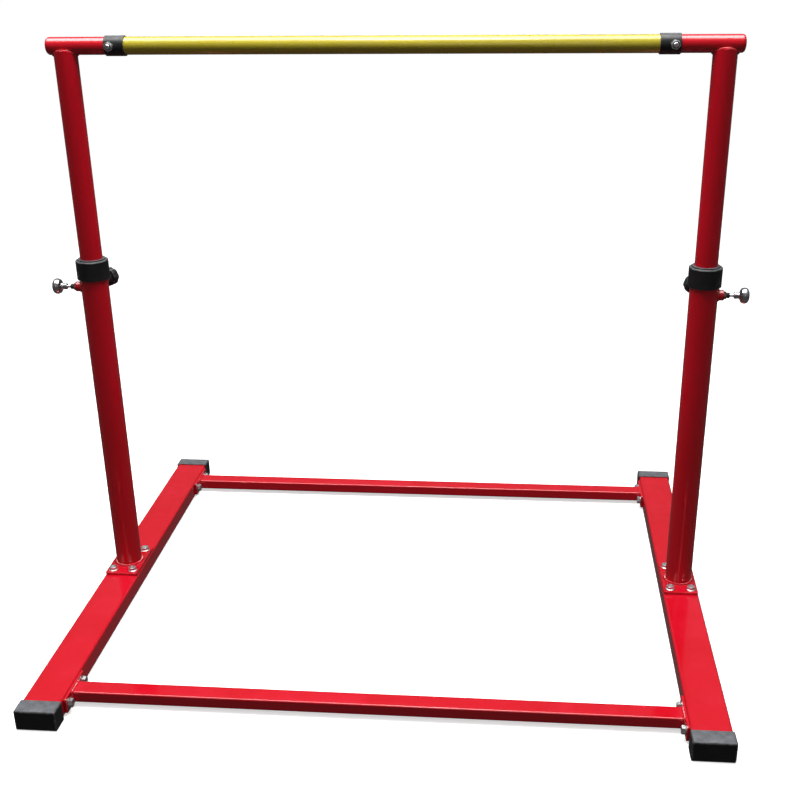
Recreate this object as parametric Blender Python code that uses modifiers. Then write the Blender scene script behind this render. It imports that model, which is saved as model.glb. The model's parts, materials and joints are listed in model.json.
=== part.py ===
"""Kip bar: a free-standing horizontal bar for young gymnasts, adjustable in height.

Two base rails, joined by two bolted crossbars, carry two telescopic posts with the bar between them.
Metres, +Z up. The origin is on the floor, midway between the posts. +X runs along the bar to the right
post and -Y is the front.
"""

import math

import bmesh
import bpy
from mathutils import Matrix, Vector

# Overall layout
POST_SPACING = 1.320
BASE_LENGTH = 1.209
CROSSBAR_OFFSET = 0.500
BAR_HEIGHT = 1.240

# Clearances
GAP = 0.0003
MERGE = 0.00001
CUT_MARGIN = 0.010
WELD_OVERLAP = 0.001
BOSS_CUT_REACH = 0.030

# Base rails and their slip-over end caps
RAIL_WIDTH = 0.080
RAIL_HEIGHT = 0.040
RAIL_WALL = 0.002
RAIL_CORNER = 0.005
CAP_WALL = 0.0025
CAP_END_WALL = 0.0045
CAP_LENGTH = 0.039
CAP_EDGE = 0.003

# Crossbars: a flat tube with a bolted flange at each end
CROSSBAR_DEPTH = 0.040
CROSSBAR_HEIGHT = 0.025
CROSSBAR_WALL = 0.0015
CROSSBAR_CORNER = 0.003
FLANGE_LENGTH = 0.106
FLANGE_HEIGHT = 0.034
FLANGE_THICKNESS = 0.005
FLANGE_CORNER = 0.004
FLANGE_BOLT_OFFSET = 0.038
DRAIN_RADIUS = 0.006

# Base plates under the posts
PLATE_WIDTH = 0.077
PLATE_LENGTH = 0.132
PLATE_THICKNESS = 0.006
PLATE_CORNER = 0.005
PLATE_BOLT_X = 0.0235
PLATE_BOLT_Y = 0.050

# M10 flanged hexagon bolts and lock nuts
BOLT_RADIUS = 0.005
BOLT_HOLE_RADIUS = 0.0053
BOLT_FLANGE_RADIUS = 0.0105
BOLT_FLANGE_HEIGHT = 0.002
BOLT_HEX_RADIUS = 0.0092
BOLT_HEAD_HEIGHT = 0.0085
BASE_BOLT_LENGTH = 0.022
NUT_HEX_RADIUS = 0.0098
NUT_HEX_HEIGHT = 0.0062
NUT_COLLAR_RADIUS = 0.0078
NUT_HEIGHT = 0.0085
WELD_NUT_RADIUS = 0.0098
WELD_NUT_HEIGHT = 0.008

# Posts: the upper tube slides inside the lower one
LOWER_RADIUS = 0.030
UPPER_RADIUS = 0.024
POST_WALL = 0.0015
LOWER_TOP = 0.790
UPPER_LENGTH = 0.800
UPPER_HEAD = 0.008
HEAD_THICKNESS = 0.012
CROWN_RADIUS = 0.040
PIN_HOLE_PITCH = 0.100
PIN_HOLES_ABOVE = 3
PIN_HOLES_BELOW = 2
PIN_HOLE_RADIUS = 0.0045

# Collar on the lower tube's mouth, which guides the upper tube
COLLAR_TOP = 0.8005
COLLAR_BOTTOM = 0.7555
COLLAR_RADIUS = 0.035
COLLAR_LIP_RADIUS = 0.0295
COLLAR_LIP_HEIGHT = 0.003
COLLAR_SHOULDER = 0.0025
COLLAR_GUIDE_BOTTOM = 0.756

# Spring pull pin on the outer side of each lower tube, measured outwards from the post's axis
PIN_HEIGHT = 0.736
PIN_BOSS_RADIUS = 0.011
PIN_BOSS_END = 0.042
BARREL_RADIUS = 0.006
BARREL_START = 0.0310
BARREL_HEX_RADIUS = 0.0085
BARREL_HEX_END = 0.0465
BARREL_END = 0.054
BARREL_BORE = 0.0051
BARREL_END_WALL = 0.0015
PLUNGER_NOSE_RADIUS = 0.004
PLUNGER_NOSE_TAPER = 0.001
PLUNGER_ROD_RADIUS = 0.003
PLUNGER_SEAT_RADIUS = 0.0047
PLUNGER_START = 0.0245
PLUNGER_SEAT_START = 0.0327
PLUNGER_SEAT_END = 0.0340
PLUNGER_END = 0.080
PIN_HUB_START = 0.063
PIN_HUB_RADIUS = 0.007
PIN_HEAD_START = 0.075
PIN_HEAD_RADIUS = 0.017
PIN_HEAD_END = 0.095
PIN_CROWN_RADIUS = 0.0094
PIN_CROWN_DROP = 0.001
PIN_SHOULDER_RADIUS = 0.0153
PIN_SHOULDER_DROP = 0.004
PIN_RIM_INSET = 0.008
PIN_UNDERSIDE_RADIUS = 0.0145
PIN_UNDERSIDE_RISE = 0.002
SPRING_WIRE_RADIUS = 0.0005
SPRING_RADIUS = 0.0041
SPRING_TURNS = 6
SPRING_TURN_POINTS = 8

# Clamp screw behind each lower tube, leaning inwards
CLAMP_HEIGHT = 0.744
CLAMP_LEAN = math.radians(75)
CLAMP_BOSS_RADIUS = 0.0095
CLAMP_BOSS_END = 0.040
CLAMP_STUD_RADIUS = 0.004
CLAMP_STUD_START = 0.0245
CLAMP_HOLE_RADIUS = 0.0043
CLAMP_WASHER_START = 0.0404
CLAMP_WASHER_END = 0.0420
CLAMP_WASHER_RADIUS = 0.0105
CLAMP_KNOB_START = 0.0423
CLAMP_KNOB_RADIUS = 0.0205
CLAMP_KNOB_END = 0.066
CLAMP_LOBES = 8
CLAMP_LOBE_POINTS = 4
CLAMP_LOBE_DEPTH = 0.0012
CLAMP_KNOB_EDGE = 0.0025
CLAMP_HUB_LENGTH = 0.006

# Stubs on top of the posts and the bar between them, measured inwards from the post's axis
STUB_RADIUS = 0.0175
STUB_WALL = 0.002
STUB_OUTER_END = 0.0315
STUB_INNER_END = 0.116
PLUG_DOME = 0.006
PLUG_DEPTH = 0.012
PLUG_DOME_STEPS = 3
SLEEVE_RADIUS = 0.020
SLEEVE_START = 0.0865
SLEEVE_END = 0.1275
BAR_BOLT_POSITION = 0.0985
BAR_BOLT_OVERHANG = 0.003
BAR_RADIUS = 0.0175
BAR_BORE_RADIUS = 0.0125
SPIGOT_RADIUS = 0.0152
SPIGOT_END = 0.072

TUBE_SEGMENTS = 32
SMALL_SEGMENTS = 16
HOLE_SEGMENTS = 12
CORNER_SEGMENTS = 2
HEX_SIDES = 6
ROUND_PROFILE = 0.5
SMOOTH_ANGLE = math.radians(40)
PARALLEL_COSINE = 0.99

SIDES = {"left": -1, "right": 1}
ENDS = {"front": -1, "rear": 1}

RAIL_CENTRE_HEIGHT = CAP_WALL + RAIL_HEIGHT / 2
RAIL_TOP = CAP_WALL + RAIL_HEIGHT
RAIL_LENGTH = BASE_LENGTH - 2 * (CAP_END_WALL + GAP)
RAIL_INNER_FACE = POST_SPACING / 2 - RAIL_WIDTH / 2
PLATE_BOTTOM = RAIL_TOP + GAP
PLATE_TOP = PLATE_BOTTOM + PLATE_THICKNESS
LOWER_BOTTOM = PLATE_TOP + GAP
LOWER_BORE = LOWER_RADIUS - POST_WALL
UPPER_BOTTOM = BAR_HEIGHT - UPPER_LENGTH
UPPER_TOP = BAR_HEIGHT - UPPER_HEAD


# ---------------------------------------------------------------- materials

def make_material(name, colour, roughness, metallic):
    material = bpy.data.materials.new(name)
    material.use_nodes = True
    shader = material.node_tree.nodes["Principled BSDF"]
    shader.inputs["Base Color"].default_value = (*colour, 1.0)
    shader.inputs["Roughness"].default_value = roughness
    shader.inputs["Metallic"].default_value = metallic
    material.diffuse_color = (*colour, 1.0)
    return material


def make_materials():
    return {
        "red_powder_coat": make_material("red_powder_coat", (0.55, 0.008, 0.02), 0.35, 0.0),
        "yellow_coating": make_material("yellow_coating", (0.75, 0.60, 0.06), 0.4, 0.0),
        "black_plastic": make_material("black_plastic", (0.015, 0.015, 0.017), 0.5, 0.0),
        "zinc_plate": make_material("zinc_plate", (0.65, 0.66, 0.68), 0.3, 1.0),
        "dark_steel": make_material("dark_steel", (0.16, 0.16, 0.17), 0.4, 1.0),
        "chrome_plate": make_material("chrome_plate", (0.80, 0.80, 0.82), 0.1, 1.0),
    }


# ---------------------------------------------------------------- scene and mesh helpers

def clear_scene():
    for item in list(bpy.data.objects):
        bpy.data.objects.remove(item, do_unlink=True)


def new_collection(name):
    collection = bpy.data.collections.new(name)
    bpy.context.scene.collection.children.link(collection)
    return collection


def mesh_from_bmesh(name, shape):
    bmesh.ops.recalc_face_normals(shape, faces=shape.faces)
    mesh = bpy.data.meshes.new(name)
    shape.to_mesh(mesh)
    shape.free()
    return mesh


def add_object(name, mesh, collection, material=None, matrix=None):
    item = bpy.data.objects.new(name, mesh)
    collection.objects.link(item)
    if material is not None:
        mesh.materials.clear()
        mesh.materials.append(material)
    if matrix is not None:
        item.matrix_world = matrix
    return item


def smooth(mesh):
    mesh.shade_smooth()
    mesh.set_sharp_from_angle(angle=SMOOTH_ANGLE)


def block_mesh(name, size, corner, axis=None):
    """A box of the given size, with its edges along one axis, or all of them, rounded."""
    shape = bmesh.new()
    bmesh.ops.create_cube(shape, size=1.0, matrix=Matrix.Diagonal((*size, 1.0)))
    edges = [edge for edge in shape.edges if axis is None or runs_along(edge, axis)]
    bmesh.ops.bevel(shape, geom=edges, offset=corner, segments=CORNER_SEGMENTS, profile=ROUND_PROFILE,
                    affect="EDGES")
    mesh = mesh_from_bmesh(name, shape)
    smooth(mesh)
    return mesh


def runs_along(edge, axis):
    direction = edge.verts[1].co - edge.verts[0].co
    return abs(direction.normalized()[axis]) > PARALLEL_COSINE


def rod_mesh(name, radius, start, end, segments):
    """A cylinder on the Z axis, from start to end."""
    shape = bmesh.new()
    bmesh.ops.create_cone(
        shape, cap_ends=True, segments=segments, radius1=radius, radius2=radius, depth=end - start,
        matrix=Matrix.Translation((0.0, 0.0, (start + end) / 2)),
    )
    mesh = mesh_from_bmesh(name, shape)
    smooth(mesh)
    return mesh


def turned_object(name, profile, collection, material, matrix, steps=TUBE_SEGMENTS):
    """Turn a profile of (radius, height) points about Z.

    The points run down the outer side and back up the bore. A profile that touches the axis is left open
    there, and the others are closed into a ring.
    """
    open_profile = profile[0][0] == 0.0 and profile[-1][0] == 0.0
    shape = bmesh.new()
    points = [shape.verts.new((radius, 0.0, height)) for radius, height in profile]
    for first, second in zip(points, points[1:]):
        shape.edges.new((first, second))
    if not open_profile:
        shape.edges.new((points[-1], points[0]))
    mesh = bpy.data.meshes.new(name)
    shape.to_mesh(mesh)
    shape.free()
    item = add_object(name, mesh, collection, material, matrix)
    screw = item.modifiers.new("turn", "SCREW")
    screw.steps = steps
    screw.render_steps = steps
    screw.use_merge_vertices = True
    screw.merge_threshold = MERGE
    screw.use_smooth_shade = True
    return item


def evaluated_mesh(item):
    """The mesh of an object after its modifiers, as a new mesh."""
    depsgraph = bpy.context.evaluated_depsgraph_get()
    return bpy.data.meshes.new_from_object(item.evaluated_get(depsgraph))


def finish(item):
    """Replace an object's mesh by its evaluated one and drop its modifiers."""
    mesh = evaluated_mesh(item)
    smooth(mesh)
    item.modifiers.clear()
    item.data = mesh
    return item


def boolean(item, tool, operation):
    modifier = item.modifiers.new(operation.lower(), "BOOLEAN")
    modifier.operation = operation
    modifier.solver = "EXACT"
    modifier.object = tool


def hide_tool(tool):
    tool.hide_render = True
    tool.display_type = "WIRE"


def cut(item, mesh, matrix, tools):
    tool = add_object(f"{item.name}_cutter_{len(item.modifiers)}", mesh, tools, matrix=matrix)
    hide_tool(tool)
    boolean(item, tool, "DIFFERENCE")


def join(item, mesh, matrix, tools):
    tool = add_object(f"{item.name}_join_{len(item.modifiers)}", mesh, tools, matrix=matrix)
    hide_tool(tool)
    boolean(item, tool, "UNION")


def along(direction, position):
    """A matrix that turns +Z to a direction and moves to a position."""
    turn = Vector(direction).to_track_quat("Z", "Y").to_matrix().to_4x4()
    return Matrix.Translation(position) @ turn


def post_x(side):
    return side * POST_SPACING / 2


def clamp_direction(side):
    return Vector((-side * math.cos(CLAMP_LEAN), math.sin(CLAMP_LEAN), 0.0))


# ---------------------------------------------------------------- base frame

def base_bolt_places(side):
    """Position and outward direction of every bolt seat on a rail, under the plate and the flange."""
    places = []
    for end in ENDS.values():
        for offset in (-PLATE_BOLT_X, PLATE_BOLT_X):
            places.append((Vector((post_x(side) + offset, end * PLATE_BOLT_Y, RAIL_TOP)), Vector((0, 0, 1))))
    for end in ENDS.values():
        for offset in (-FLANGE_BOLT_OFFSET, FLANGE_BOLT_OFFSET):
            position = Vector((side * RAIL_INNER_FACE, end * CROSSBAR_OFFSET + offset, RAIL_CENTRE_HEIGHT))
            places.append((position, Vector((-side, 0, 0))))
    return places


def make_rail(name, side, parts, tools, material):
    size = (RAIL_WIDTH, RAIL_LENGTH, RAIL_HEIGHT)
    bore = (RAIL_WIDTH - 2 * RAIL_WALL, RAIL_LENGTH + CUT_MARGIN, RAIL_HEIGHT - 2 * RAIL_WALL)
    place = Matrix.Translation((post_x(side), 0.0, RAIL_CENTRE_HEIGHT))
    rail = add_object(name, block_mesh(name, size, RAIL_CORNER, 1), parts, material, place)
    cut(rail, block_mesh(name + "_bore", bore, RAIL_CORNER - RAIL_WALL, 1), place, tools)
    nut_top = -RAIL_WALL + WELD_OVERLAP
    nut = rod_mesh("weld_nut", WELD_NUT_RADIUS, -RAIL_WALL - WELD_NUT_HEIGHT, nut_top, HEX_SIDES)
    hole = rod_mesh("bolt_hole", BOLT_HOLE_RADIUS, -RAIL_WALL - WELD_NUT_HEIGHT - CUT_MARGIN, CUT_MARGIN,
                    HOLE_SEGMENTS)
    for position, direction in base_bolt_places(side):
        join(rail, nut, along(direction, position), tools)
    for position, direction in base_bolt_places(side):
        cut(rail, hole, along(direction, position), tools)
    return finish(rail)


def make_rail_cap(name, side, end, parts, tools, material):
    size = (RAIL_WIDTH + 2 * CAP_WALL, CAP_LENGTH, RAIL_HEIGHT + 2 * CAP_WALL)
    pocket = (RAIL_WIDTH + 2 * GAP, CAP_LENGTH, RAIL_HEIGHT + 2 * GAP)
    middle = end * (BASE_LENGTH - CAP_LENGTH) / 2
    place = Matrix.Translation((post_x(side), middle, RAIL_CENTRE_HEIGHT))
    pocket_place = Matrix.Translation((post_x(side), middle - end * CAP_END_WALL, RAIL_CENTRE_HEIGHT))
    cap = add_object(name, block_mesh(name, size, CAP_EDGE), parts, material, place)
    cut(cap, block_mesh(name + "_pocket", pocket, RAIL_CORNER, 1), pocket_place, tools)
    return finish(cap)


def make_crossbar(name, end, parts, tools, material):
    flange_centre = RAIL_INNER_FACE - GAP - FLANGE_THICKNESS / 2
    tube_length = 2 * (flange_centre - FLANGE_THICKNESS / 2 + WELD_OVERLAP)
    size = (tube_length, CROSSBAR_DEPTH, CROSSBAR_HEIGHT)
    bore_length = tube_length - 2 * WELD_OVERLAP
    bore = (bore_length, CROSSBAR_DEPTH - 2 * CROSSBAR_WALL, CROSSBAR_HEIGHT - 2 * CROSSBAR_WALL)
    place = Matrix.Translation((0.0, end * CROSSBAR_OFFSET, RAIL_CENTRE_HEIGHT))
    crossbar = add_object(name, block_mesh(name, size, CROSSBAR_CORNER, 0), parts, material, place)
    flange_size = (FLANGE_THICKNESS, FLANGE_LENGTH, FLANGE_HEIGHT)
    flange = block_mesh("flange", flange_size, FLANGE_CORNER, 0)
    drain = rod_mesh("drain", DRAIN_RADIUS, -CUT_MARGIN, CUT_MARGIN, HOLE_SEGMENTS)
    hole = rod_mesh("flange_hole", BOLT_HOLE_RADIUS, -CUT_MARGIN, CUT_MARGIN, HOLE_SEGMENTS)
    for side in SIDES.values():
        centre = Vector((side * flange_centre, end * CROSSBAR_OFFSET, RAIL_CENTRE_HEIGHT))
        join(crossbar, flange, Matrix.Translation(centre), tools)
    cut(crossbar, block_mesh(name + "_bore", bore, CROSSBAR_CORNER - CROSSBAR_WALL, 0), place, tools)
    for side in SIDES.values():
        centre = Vector((side * flange_centre, end * CROSSBAR_OFFSET, RAIL_CENTRE_HEIGHT))
        cut(crossbar, drain, along((side, 0, 0), centre), tools)
        for offset in (-FLANGE_BOLT_OFFSET, FLANGE_BOLT_OFFSET):
            cut(crossbar, hole, along((side, 0, 0), centre + Vector((0.0, offset, 0.0))), tools)
    return finish(crossbar)


def make_base_plate(name, side, parts, tools, material):
    size = (PLATE_WIDTH, PLATE_LENGTH, PLATE_THICKNESS)
    centre = Vector((post_x(side), 0.0, PLATE_BOTTOM + PLATE_THICKNESS / 2))
    plate = add_object(name, block_mesh(name, size, PLATE_CORNER, 2), parts, material,
                       Matrix.Translation(centre))
    hole = rod_mesh("plate_hole", BOLT_HOLE_RADIUS, -CUT_MARGIN, CUT_MARGIN, HOLE_SEGMENTS)
    for x_offset in (-PLATE_BOLT_X, PLATE_BOLT_X):
        for y_offset in (-PLATE_BOLT_Y, PLATE_BOLT_Y):
            cut(plate, hole, Matrix.Translation(centre + Vector((x_offset, y_offset, 0.0))), tools)
    return finish(plate)


# ---------------------------------------------------------------- fasteners

def flange_bolt_mesh(name, shank_length, tools):
    """A flanged hexagon bolt, head up, whose head rests on the plane Z = 0."""
    head = rod_mesh(name + "_head", BOLT_HEX_RADIUS, BOLT_FLANGE_HEIGHT / 2, BOLT_HEAD_HEIGHT, HEX_SIDES)
    bolt = turned_object(
        name + "_blank",
        [(0.0, BOLT_FLANGE_HEIGHT), (BOLT_HEX_RADIUS, BOLT_FLANGE_HEIGHT),
         (BOLT_FLANGE_RADIUS, BOLT_FLANGE_HEIGHT / 2), (BOLT_FLANGE_RADIUS, 0.0), (BOLT_RADIUS, 0.0),
         (BOLT_RADIUS, -shank_length), (0.0, -shank_length)],
        tools, None, None, HOLE_SEGMENTS)
    hide_tool(bolt)
    join(bolt, head, None, tools)
    return evaluated_mesh(bolt)


def lock_nut_mesh(name, tools):
    """A hexagon lock nut with a round collar above it, resting on the plane Z = 0."""
    body = rod_mesh(name + "_body", NUT_HEX_RADIUS, 0.0, NUT_HEX_HEIGHT, HEX_SIDES)
    bore = rod_mesh(name + "_bore", BOLT_HOLE_RADIUS, -CUT_MARGIN, NUT_HEIGHT + CUT_MARGIN, HOLE_SEGMENTS)
    nut = turned_object(
        name + "_blank",
        [(0.0, NUT_HEIGHT), (NUT_COLLAR_RADIUS, NUT_HEIGHT), (NUT_COLLAR_RADIUS, NUT_HEX_HEIGHT / 2),
         (0.0, NUT_HEX_HEIGHT / 2)],
        tools, None, None, HOLE_SEGMENTS)
    hide_tool(nut)
    join(nut, body, None, tools)
    cut(nut, bore, None, tools)
    return evaluated_mesh(nut)


def make_base_bolts(parts, tools, material):
    mesh = flange_bolt_mesh("base_bolt", BASE_BOLT_LENGTH, tools)
    smooth(mesh)
    for side_name, side in SIDES.items():
        for end_name, end in ENDS.items():
            for offset_name, offset in (("outer", side), ("inner", -side)):
                head = (post_x(side) + offset * PLATE_BOLT_X, end * PLATE_BOLT_Y, PLATE_TOP + GAP)
                name = f"{side_name}_plate_bolt_{end_name}_{offset_name}"
                add_object(name, mesh, parts, material, along((0, 0, 1), head))
            for offset_name, offset in ENDS.items():
                seat = side * (RAIL_INNER_FACE - 2 * GAP - FLANGE_THICKNESS)
                head = (seat, end * CROSSBAR_OFFSET + offset * FLANGE_BOLT_OFFSET, RAIL_CENTRE_HEIGHT)
                name = f"{end_name}_{side_name}_flange_bolt_{offset_name}"
                add_object(name, mesh, parts, material, along((-side, 0, 0), head))


# ---------------------------------------------------------------- lower posts

def make_lower_tube(name, side, parts, tools, material):
    profile = [(LOWER_RADIUS, LOWER_TOP), (LOWER_RADIUS, LOWER_BOTTOM), (LOWER_BORE, LOWER_BOTTOM),
               (LOWER_BORE, LOWER_TOP)]
    place = Matrix.Translation((post_x(side), 0.0, 0.0))
    tube = turned_object(name, profile, parts, material, place)
    pin_hole = rod_mesh("pin_hole", PIN_HOLE_RADIUS, UPPER_RADIUS, LOWER_RADIUS + CUT_MARGIN, HOLE_SEGMENTS)
    clamp_hole = rod_mesh("clamp_hole", CLAMP_HOLE_RADIUS, UPPER_RADIUS, LOWER_RADIUS + CUT_MARGIN,
                          HOLE_SEGMENTS)
    cut(tube, pin_hole, along((side, 0, 0), (post_x(side), 0.0, PIN_HEIGHT)), tools)
    cut(tube, clamp_hole, along(clamp_direction(side), (post_x(side), 0.0, CLAMP_HEIGHT)), tools)
    return finish(tube)


def make_boss(name, side, direction, height, radius, hole_radius, end, parts, tools, material):
    """A round nut, coped to sit on the lower tube and drilled along its axis."""
    centre = Vector((post_x(side), 0.0, height))
    place = along(direction, centre)
    blank = rod_mesh(name, radius, UPPER_RADIUS, end, SMALL_SEGMENTS)
    boss = add_object(name, blank, parts, material, place)
    seat = rod_mesh(name + "_seat", LOWER_RADIUS + GAP, height - BOSS_CUT_REACH, height + BOSS_CUT_REACH,
                    TUBE_SEGMENTS * 2)
    hole = rod_mesh(name + "_hole", hole_radius, 0.0, end + CUT_MARGIN, SMALL_SEGMENTS)
    cut(boss, seat, Matrix.Translation((post_x(side), 0.0, 0.0)), tools)
    cut(boss, hole, place, tools)
    return finish(boss)


def make_collar(name, side, parts, material):
    bore = UPPER_RADIUS + GAP
    guide = LOWER_BORE - GAP
    mouth = LOWER_TOP + GAP
    shoulder = COLLAR_TOP - COLLAR_LIP_HEIGHT
    profile = [
        (COLLAR_LIP_RADIUS, COLLAR_TOP),
        (COLLAR_LIP_RADIUS, shoulder),
        (COLLAR_RADIUS - COLLAR_SHOULDER, shoulder),
        (COLLAR_RADIUS, shoulder - COLLAR_SHOULDER),
        (COLLAR_RADIUS, COLLAR_BOTTOM),
        (LOWER_RADIUS + GAP, COLLAR_BOTTOM),
        (LOWER_RADIUS + GAP, mouth),
        (guide, mouth),
        (guide, COLLAR_GUIDE_BOTTOM),
        (bore, COLLAR_GUIDE_BOTTOM),
        (bore, COLLAR_TOP),
    ]
    place = Matrix.Translation((post_x(side), 0.0, 0.0))
    return finish(turned_object(name, profile, parts, material, place))


# ---------------------------------------------------------------- spring pull pins

def make_barrel(name, side, parts, tools, material):
    """The threaded barrel, with a hexagon to turn it by, open inwards for the spring and the plunger."""
    inner = BARREL_END - BARREL_END_WALL
    rod_bore = PLUNGER_ROD_RADIUS + GAP
    lip_bore = PLUNGER_NOSE_RADIUS + GAP
    lip_end = BARREL_START + BARREL_END_WALL
    profile = [
        (BARREL_RADIUS, BARREL_END),
        (BARREL_RADIUS, BARREL_START),
        (lip_bore, BARREL_START),
        (lip_bore, lip_end),
        (BARREL_BORE, lip_end),
        (BARREL_BORE, inner),
        (rod_bore, inner),
        (rod_bore, BARREL_END),
    ]
    place = along((side, 0, 0), (post_x(side), 0.0, PIN_HEIGHT))
    barrel = turned_object(name, profile, parts, material, place, SMALL_SEGMENTS)
    hexagon = rod_mesh(name + "_hexagon", BARREL_HEX_RADIUS, PIN_BOSS_END + GAP, BARREL_HEX_END, HEX_SIDES)
    core = rod_mesh(name + "_core", (BARREL_BORE + BARREL_RADIUS) / 2, 0.0, BARREL_END + CUT_MARGIN,
                    SMALL_SEGMENTS)
    ring = add_object(name + "_ring", hexagon, tools, matrix=place)
    hide_tool(ring)
    cut(ring, core, place, tools)
    boolean(barrel, ring, "UNION")
    return finish(barrel)


def make_plunger(name, side, parts, material):
    nose = PLUNGER_NOSE_RADIUS
    profile = [
        (0.0, PLUNGER_END),
        (PLUNGER_ROD_RADIUS, PLUNGER_END),
        (PLUNGER_ROD_RADIUS, PLUNGER_SEAT_END),
        (PLUNGER_SEAT_RADIUS, PLUNGER_SEAT_END),
        (PLUNGER_SEAT_RADIUS, PLUNGER_SEAT_START),
        (nose, PLUNGER_SEAT_START),
        (nose, PLUNGER_START + PLUNGER_NOSE_TAPER),
        (nose - PLUNGER_NOSE_TAPER, PLUNGER_START),
        (0.0, PLUNGER_START),
    ]
    place = along((side, 0, 0), (post_x(side), 0.0, PIN_HEIGHT))
    return finish(turned_object(name, profile, parts, material, place, SMALL_SEGMENTS))


def make_pin_knob(name, side, parts, material):
    """A mushroom knob with a hub, hollow where the plunger's rod screws in."""
    bore = PLUNGER_ROD_RADIUS + GAP
    profile = [
        (0.0, PIN_HEAD_END),
        (PIN_CROWN_RADIUS, PIN_HEAD_END - PIN_CROWN_DROP),
        (PIN_SHOULDER_RADIUS, PIN_HEAD_END - PIN_SHOULDER_DROP),
        (PIN_HEAD_RADIUS, PIN_HEAD_END - PIN_RIM_INSET),
        (PIN_HEAD_RADIUS, PIN_HEAD_START + PIN_RIM_INSET),
        (PIN_UNDERSIDE_RADIUS, PIN_HEAD_START + PIN_UNDERSIDE_RISE),
        (PIN_HUB_RADIUS, PIN_HEAD_START),
        (PIN_HUB_RADIUS, PIN_HUB_START),
        (bore, PIN_HUB_START),
        (bore, PLUNGER_END + GAP),
        (0.0, PLUNGER_END + GAP),
    ]
    place = along((side, 0, 0), (post_x(side), 0.0, PIN_HEIGHT))
    return finish(turned_object(name, profile, parts, material, place, SMALL_SEGMENTS))


def make_pin_spring(name, side, parts, material):
    """A compression spring between the plunger's seat and the barrel's end wall."""
    start = PLUNGER_SEAT_END + GAP + SPRING_WIRE_RADIUS
    end = BARREL_END - BARREL_END_WALL - GAP - SPRING_WIRE_RADIUS
    points = SPRING_TURNS * SPRING_TURN_POINTS + 1
    curve = bpy.data.curves.new(name, "CURVE")
    curve.dimensions = "3D"
    curve.bevel_depth = SPRING_WIRE_RADIUS
    curve.bevel_resolution = 1
    curve.use_fill_caps = True
    spline = curve.splines.new("POLY")
    spline.points.add(points - 1)
    for index, point in enumerate(spline.points):
        angle = 2 * math.pi * index / SPRING_TURN_POINTS
        height = start + (end - start) * index / (points - 1)
        point.co = (SPRING_RADIUS * math.cos(angle), SPRING_RADIUS * math.sin(angle), height, 1.0)
    wire = add_object(name + "_wire", curve, parts,
                      matrix=along((side, 0, 0), (post_x(side), 0.0, PIN_HEIGHT)))
    mesh = evaluated_mesh(wire)
    shape = bmesh.new()
    shape.from_mesh(mesh)
    bmesh.ops.remove_doubles(shape, verts=shape.verts, dist=MERGE)
    bpy.data.meshes.remove(mesh)
    spring_mesh = mesh_from_bmesh(name, shape)
    smooth(spring_mesh)
    spring = add_object(name, spring_mesh, parts, material, wire.matrix_world.copy())
    bpy.data.objects.remove(wire, do_unlink=True)
    return spring


# ---------------------------------------------------------------- clamp screws

def make_clamp_washer(name, side, parts, material):
    bore = CLAMP_STUD_RADIUS + GAP
    profile = [(CLAMP_WASHER_RADIUS, CLAMP_WASHER_END), (CLAMP_WASHER_RADIUS, CLAMP_WASHER_START),
               (bore, CLAMP_WASHER_START), (bore, CLAMP_WASHER_END)]
    place = along(clamp_direction(side), (post_x(side), 0.0, CLAMP_HEIGHT))
    return finish(turned_object(name, profile, parts, material, place, SMALL_SEGMENTS))


def lobed_outline(radius, depth, lobes, points_per_lobe):
    """Points around a knob's rim, which dips by a depth between its lobes."""
    count = lobes * points_per_lobe
    outline = []
    for index in range(count):
        angle = 2 * math.pi * index / count
        reach = radius - depth * (1 - math.cos(lobes * angle)) / 2
        outline.append((reach * math.cos(angle), reach * math.sin(angle)))
    return outline


def make_clamp_knob(name, side, parts, tools, material):
    """A round fluted knob with its threaded stud moulded in."""
    rim_start = CLAMP_KNOB_START + CLAMP_HUB_LENGTH
    outline = lobed_outline(CLAMP_KNOB_RADIUS, CLAMP_LOBE_DEPTH, CLAMP_LOBES,
                            CLAMP_LOBE_POINTS)
    shape = bmesh.new()
    face = shape.faces.new([shape.verts.new((x, y, rim_start)) for x, y in outline])
    grown = bmesh.ops.extrude_face_region(shape, geom=[face])
    top = [item for item in grown["geom"] if isinstance(item, bmesh.types.BMVert)]
    bmesh.ops.translate(shape, verts=top, vec=(0.0, 0.0, CLAMP_KNOB_END - rim_start))
    rims = [edge for edge in shape.edges if not runs_along(edge, 2)]
    bmesh.ops.bevel(shape, geom=rims, offset=CLAMP_KNOB_EDGE, segments=CORNER_SEGMENTS,
                    profile=ROUND_PROFILE, affect="EDGES")
    knob_mesh = mesh_from_bmesh(name, shape)
    place = along(clamp_direction(side), (post_x(side), 0.0, CLAMP_HEIGHT))
    knob = add_object(name, knob_mesh, parts, material, place)
    hub_end = rim_start + WELD_OVERLAP
    hub = rod_mesh(name + "_hub", CLAMP_WASHER_RADIUS, CLAMP_KNOB_START, hub_end, SMALL_SEGMENTS)
    stud = rod_mesh(name + "_stud", CLAMP_STUD_RADIUS, CLAMP_STUD_START, hub_end, HOLE_SEGMENTS)
    join(knob, hub, place, tools)
    join(knob, stud, place, tools)
    return finish(knob)


# ---------------------------------------------------------------- upper posts and bar

def crown_tool(name, side, tools):
    """A block with an arch out of its underside, which rounds the top of a post from left to right."""
    reach = UPPER_RADIUS * 2
    tool = add_object(name, rod_mesh(name, reach, -reach, reach, TUBE_SEGMENTS), tools,
                      matrix=Matrix.Translation((post_x(side), 0.0, UPPER_TOP)))
    hide_tool(tool)
    arch = rod_mesh(name + "_arch", CROWN_RADIUS, -reach, reach, TUBE_SEGMENTS * 2)
    cut(tool, arch, along((0, 1, 0), (post_x(side), 0.0, UPPER_TOP - CROWN_RADIUS)), tools)
    return tool


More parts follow.
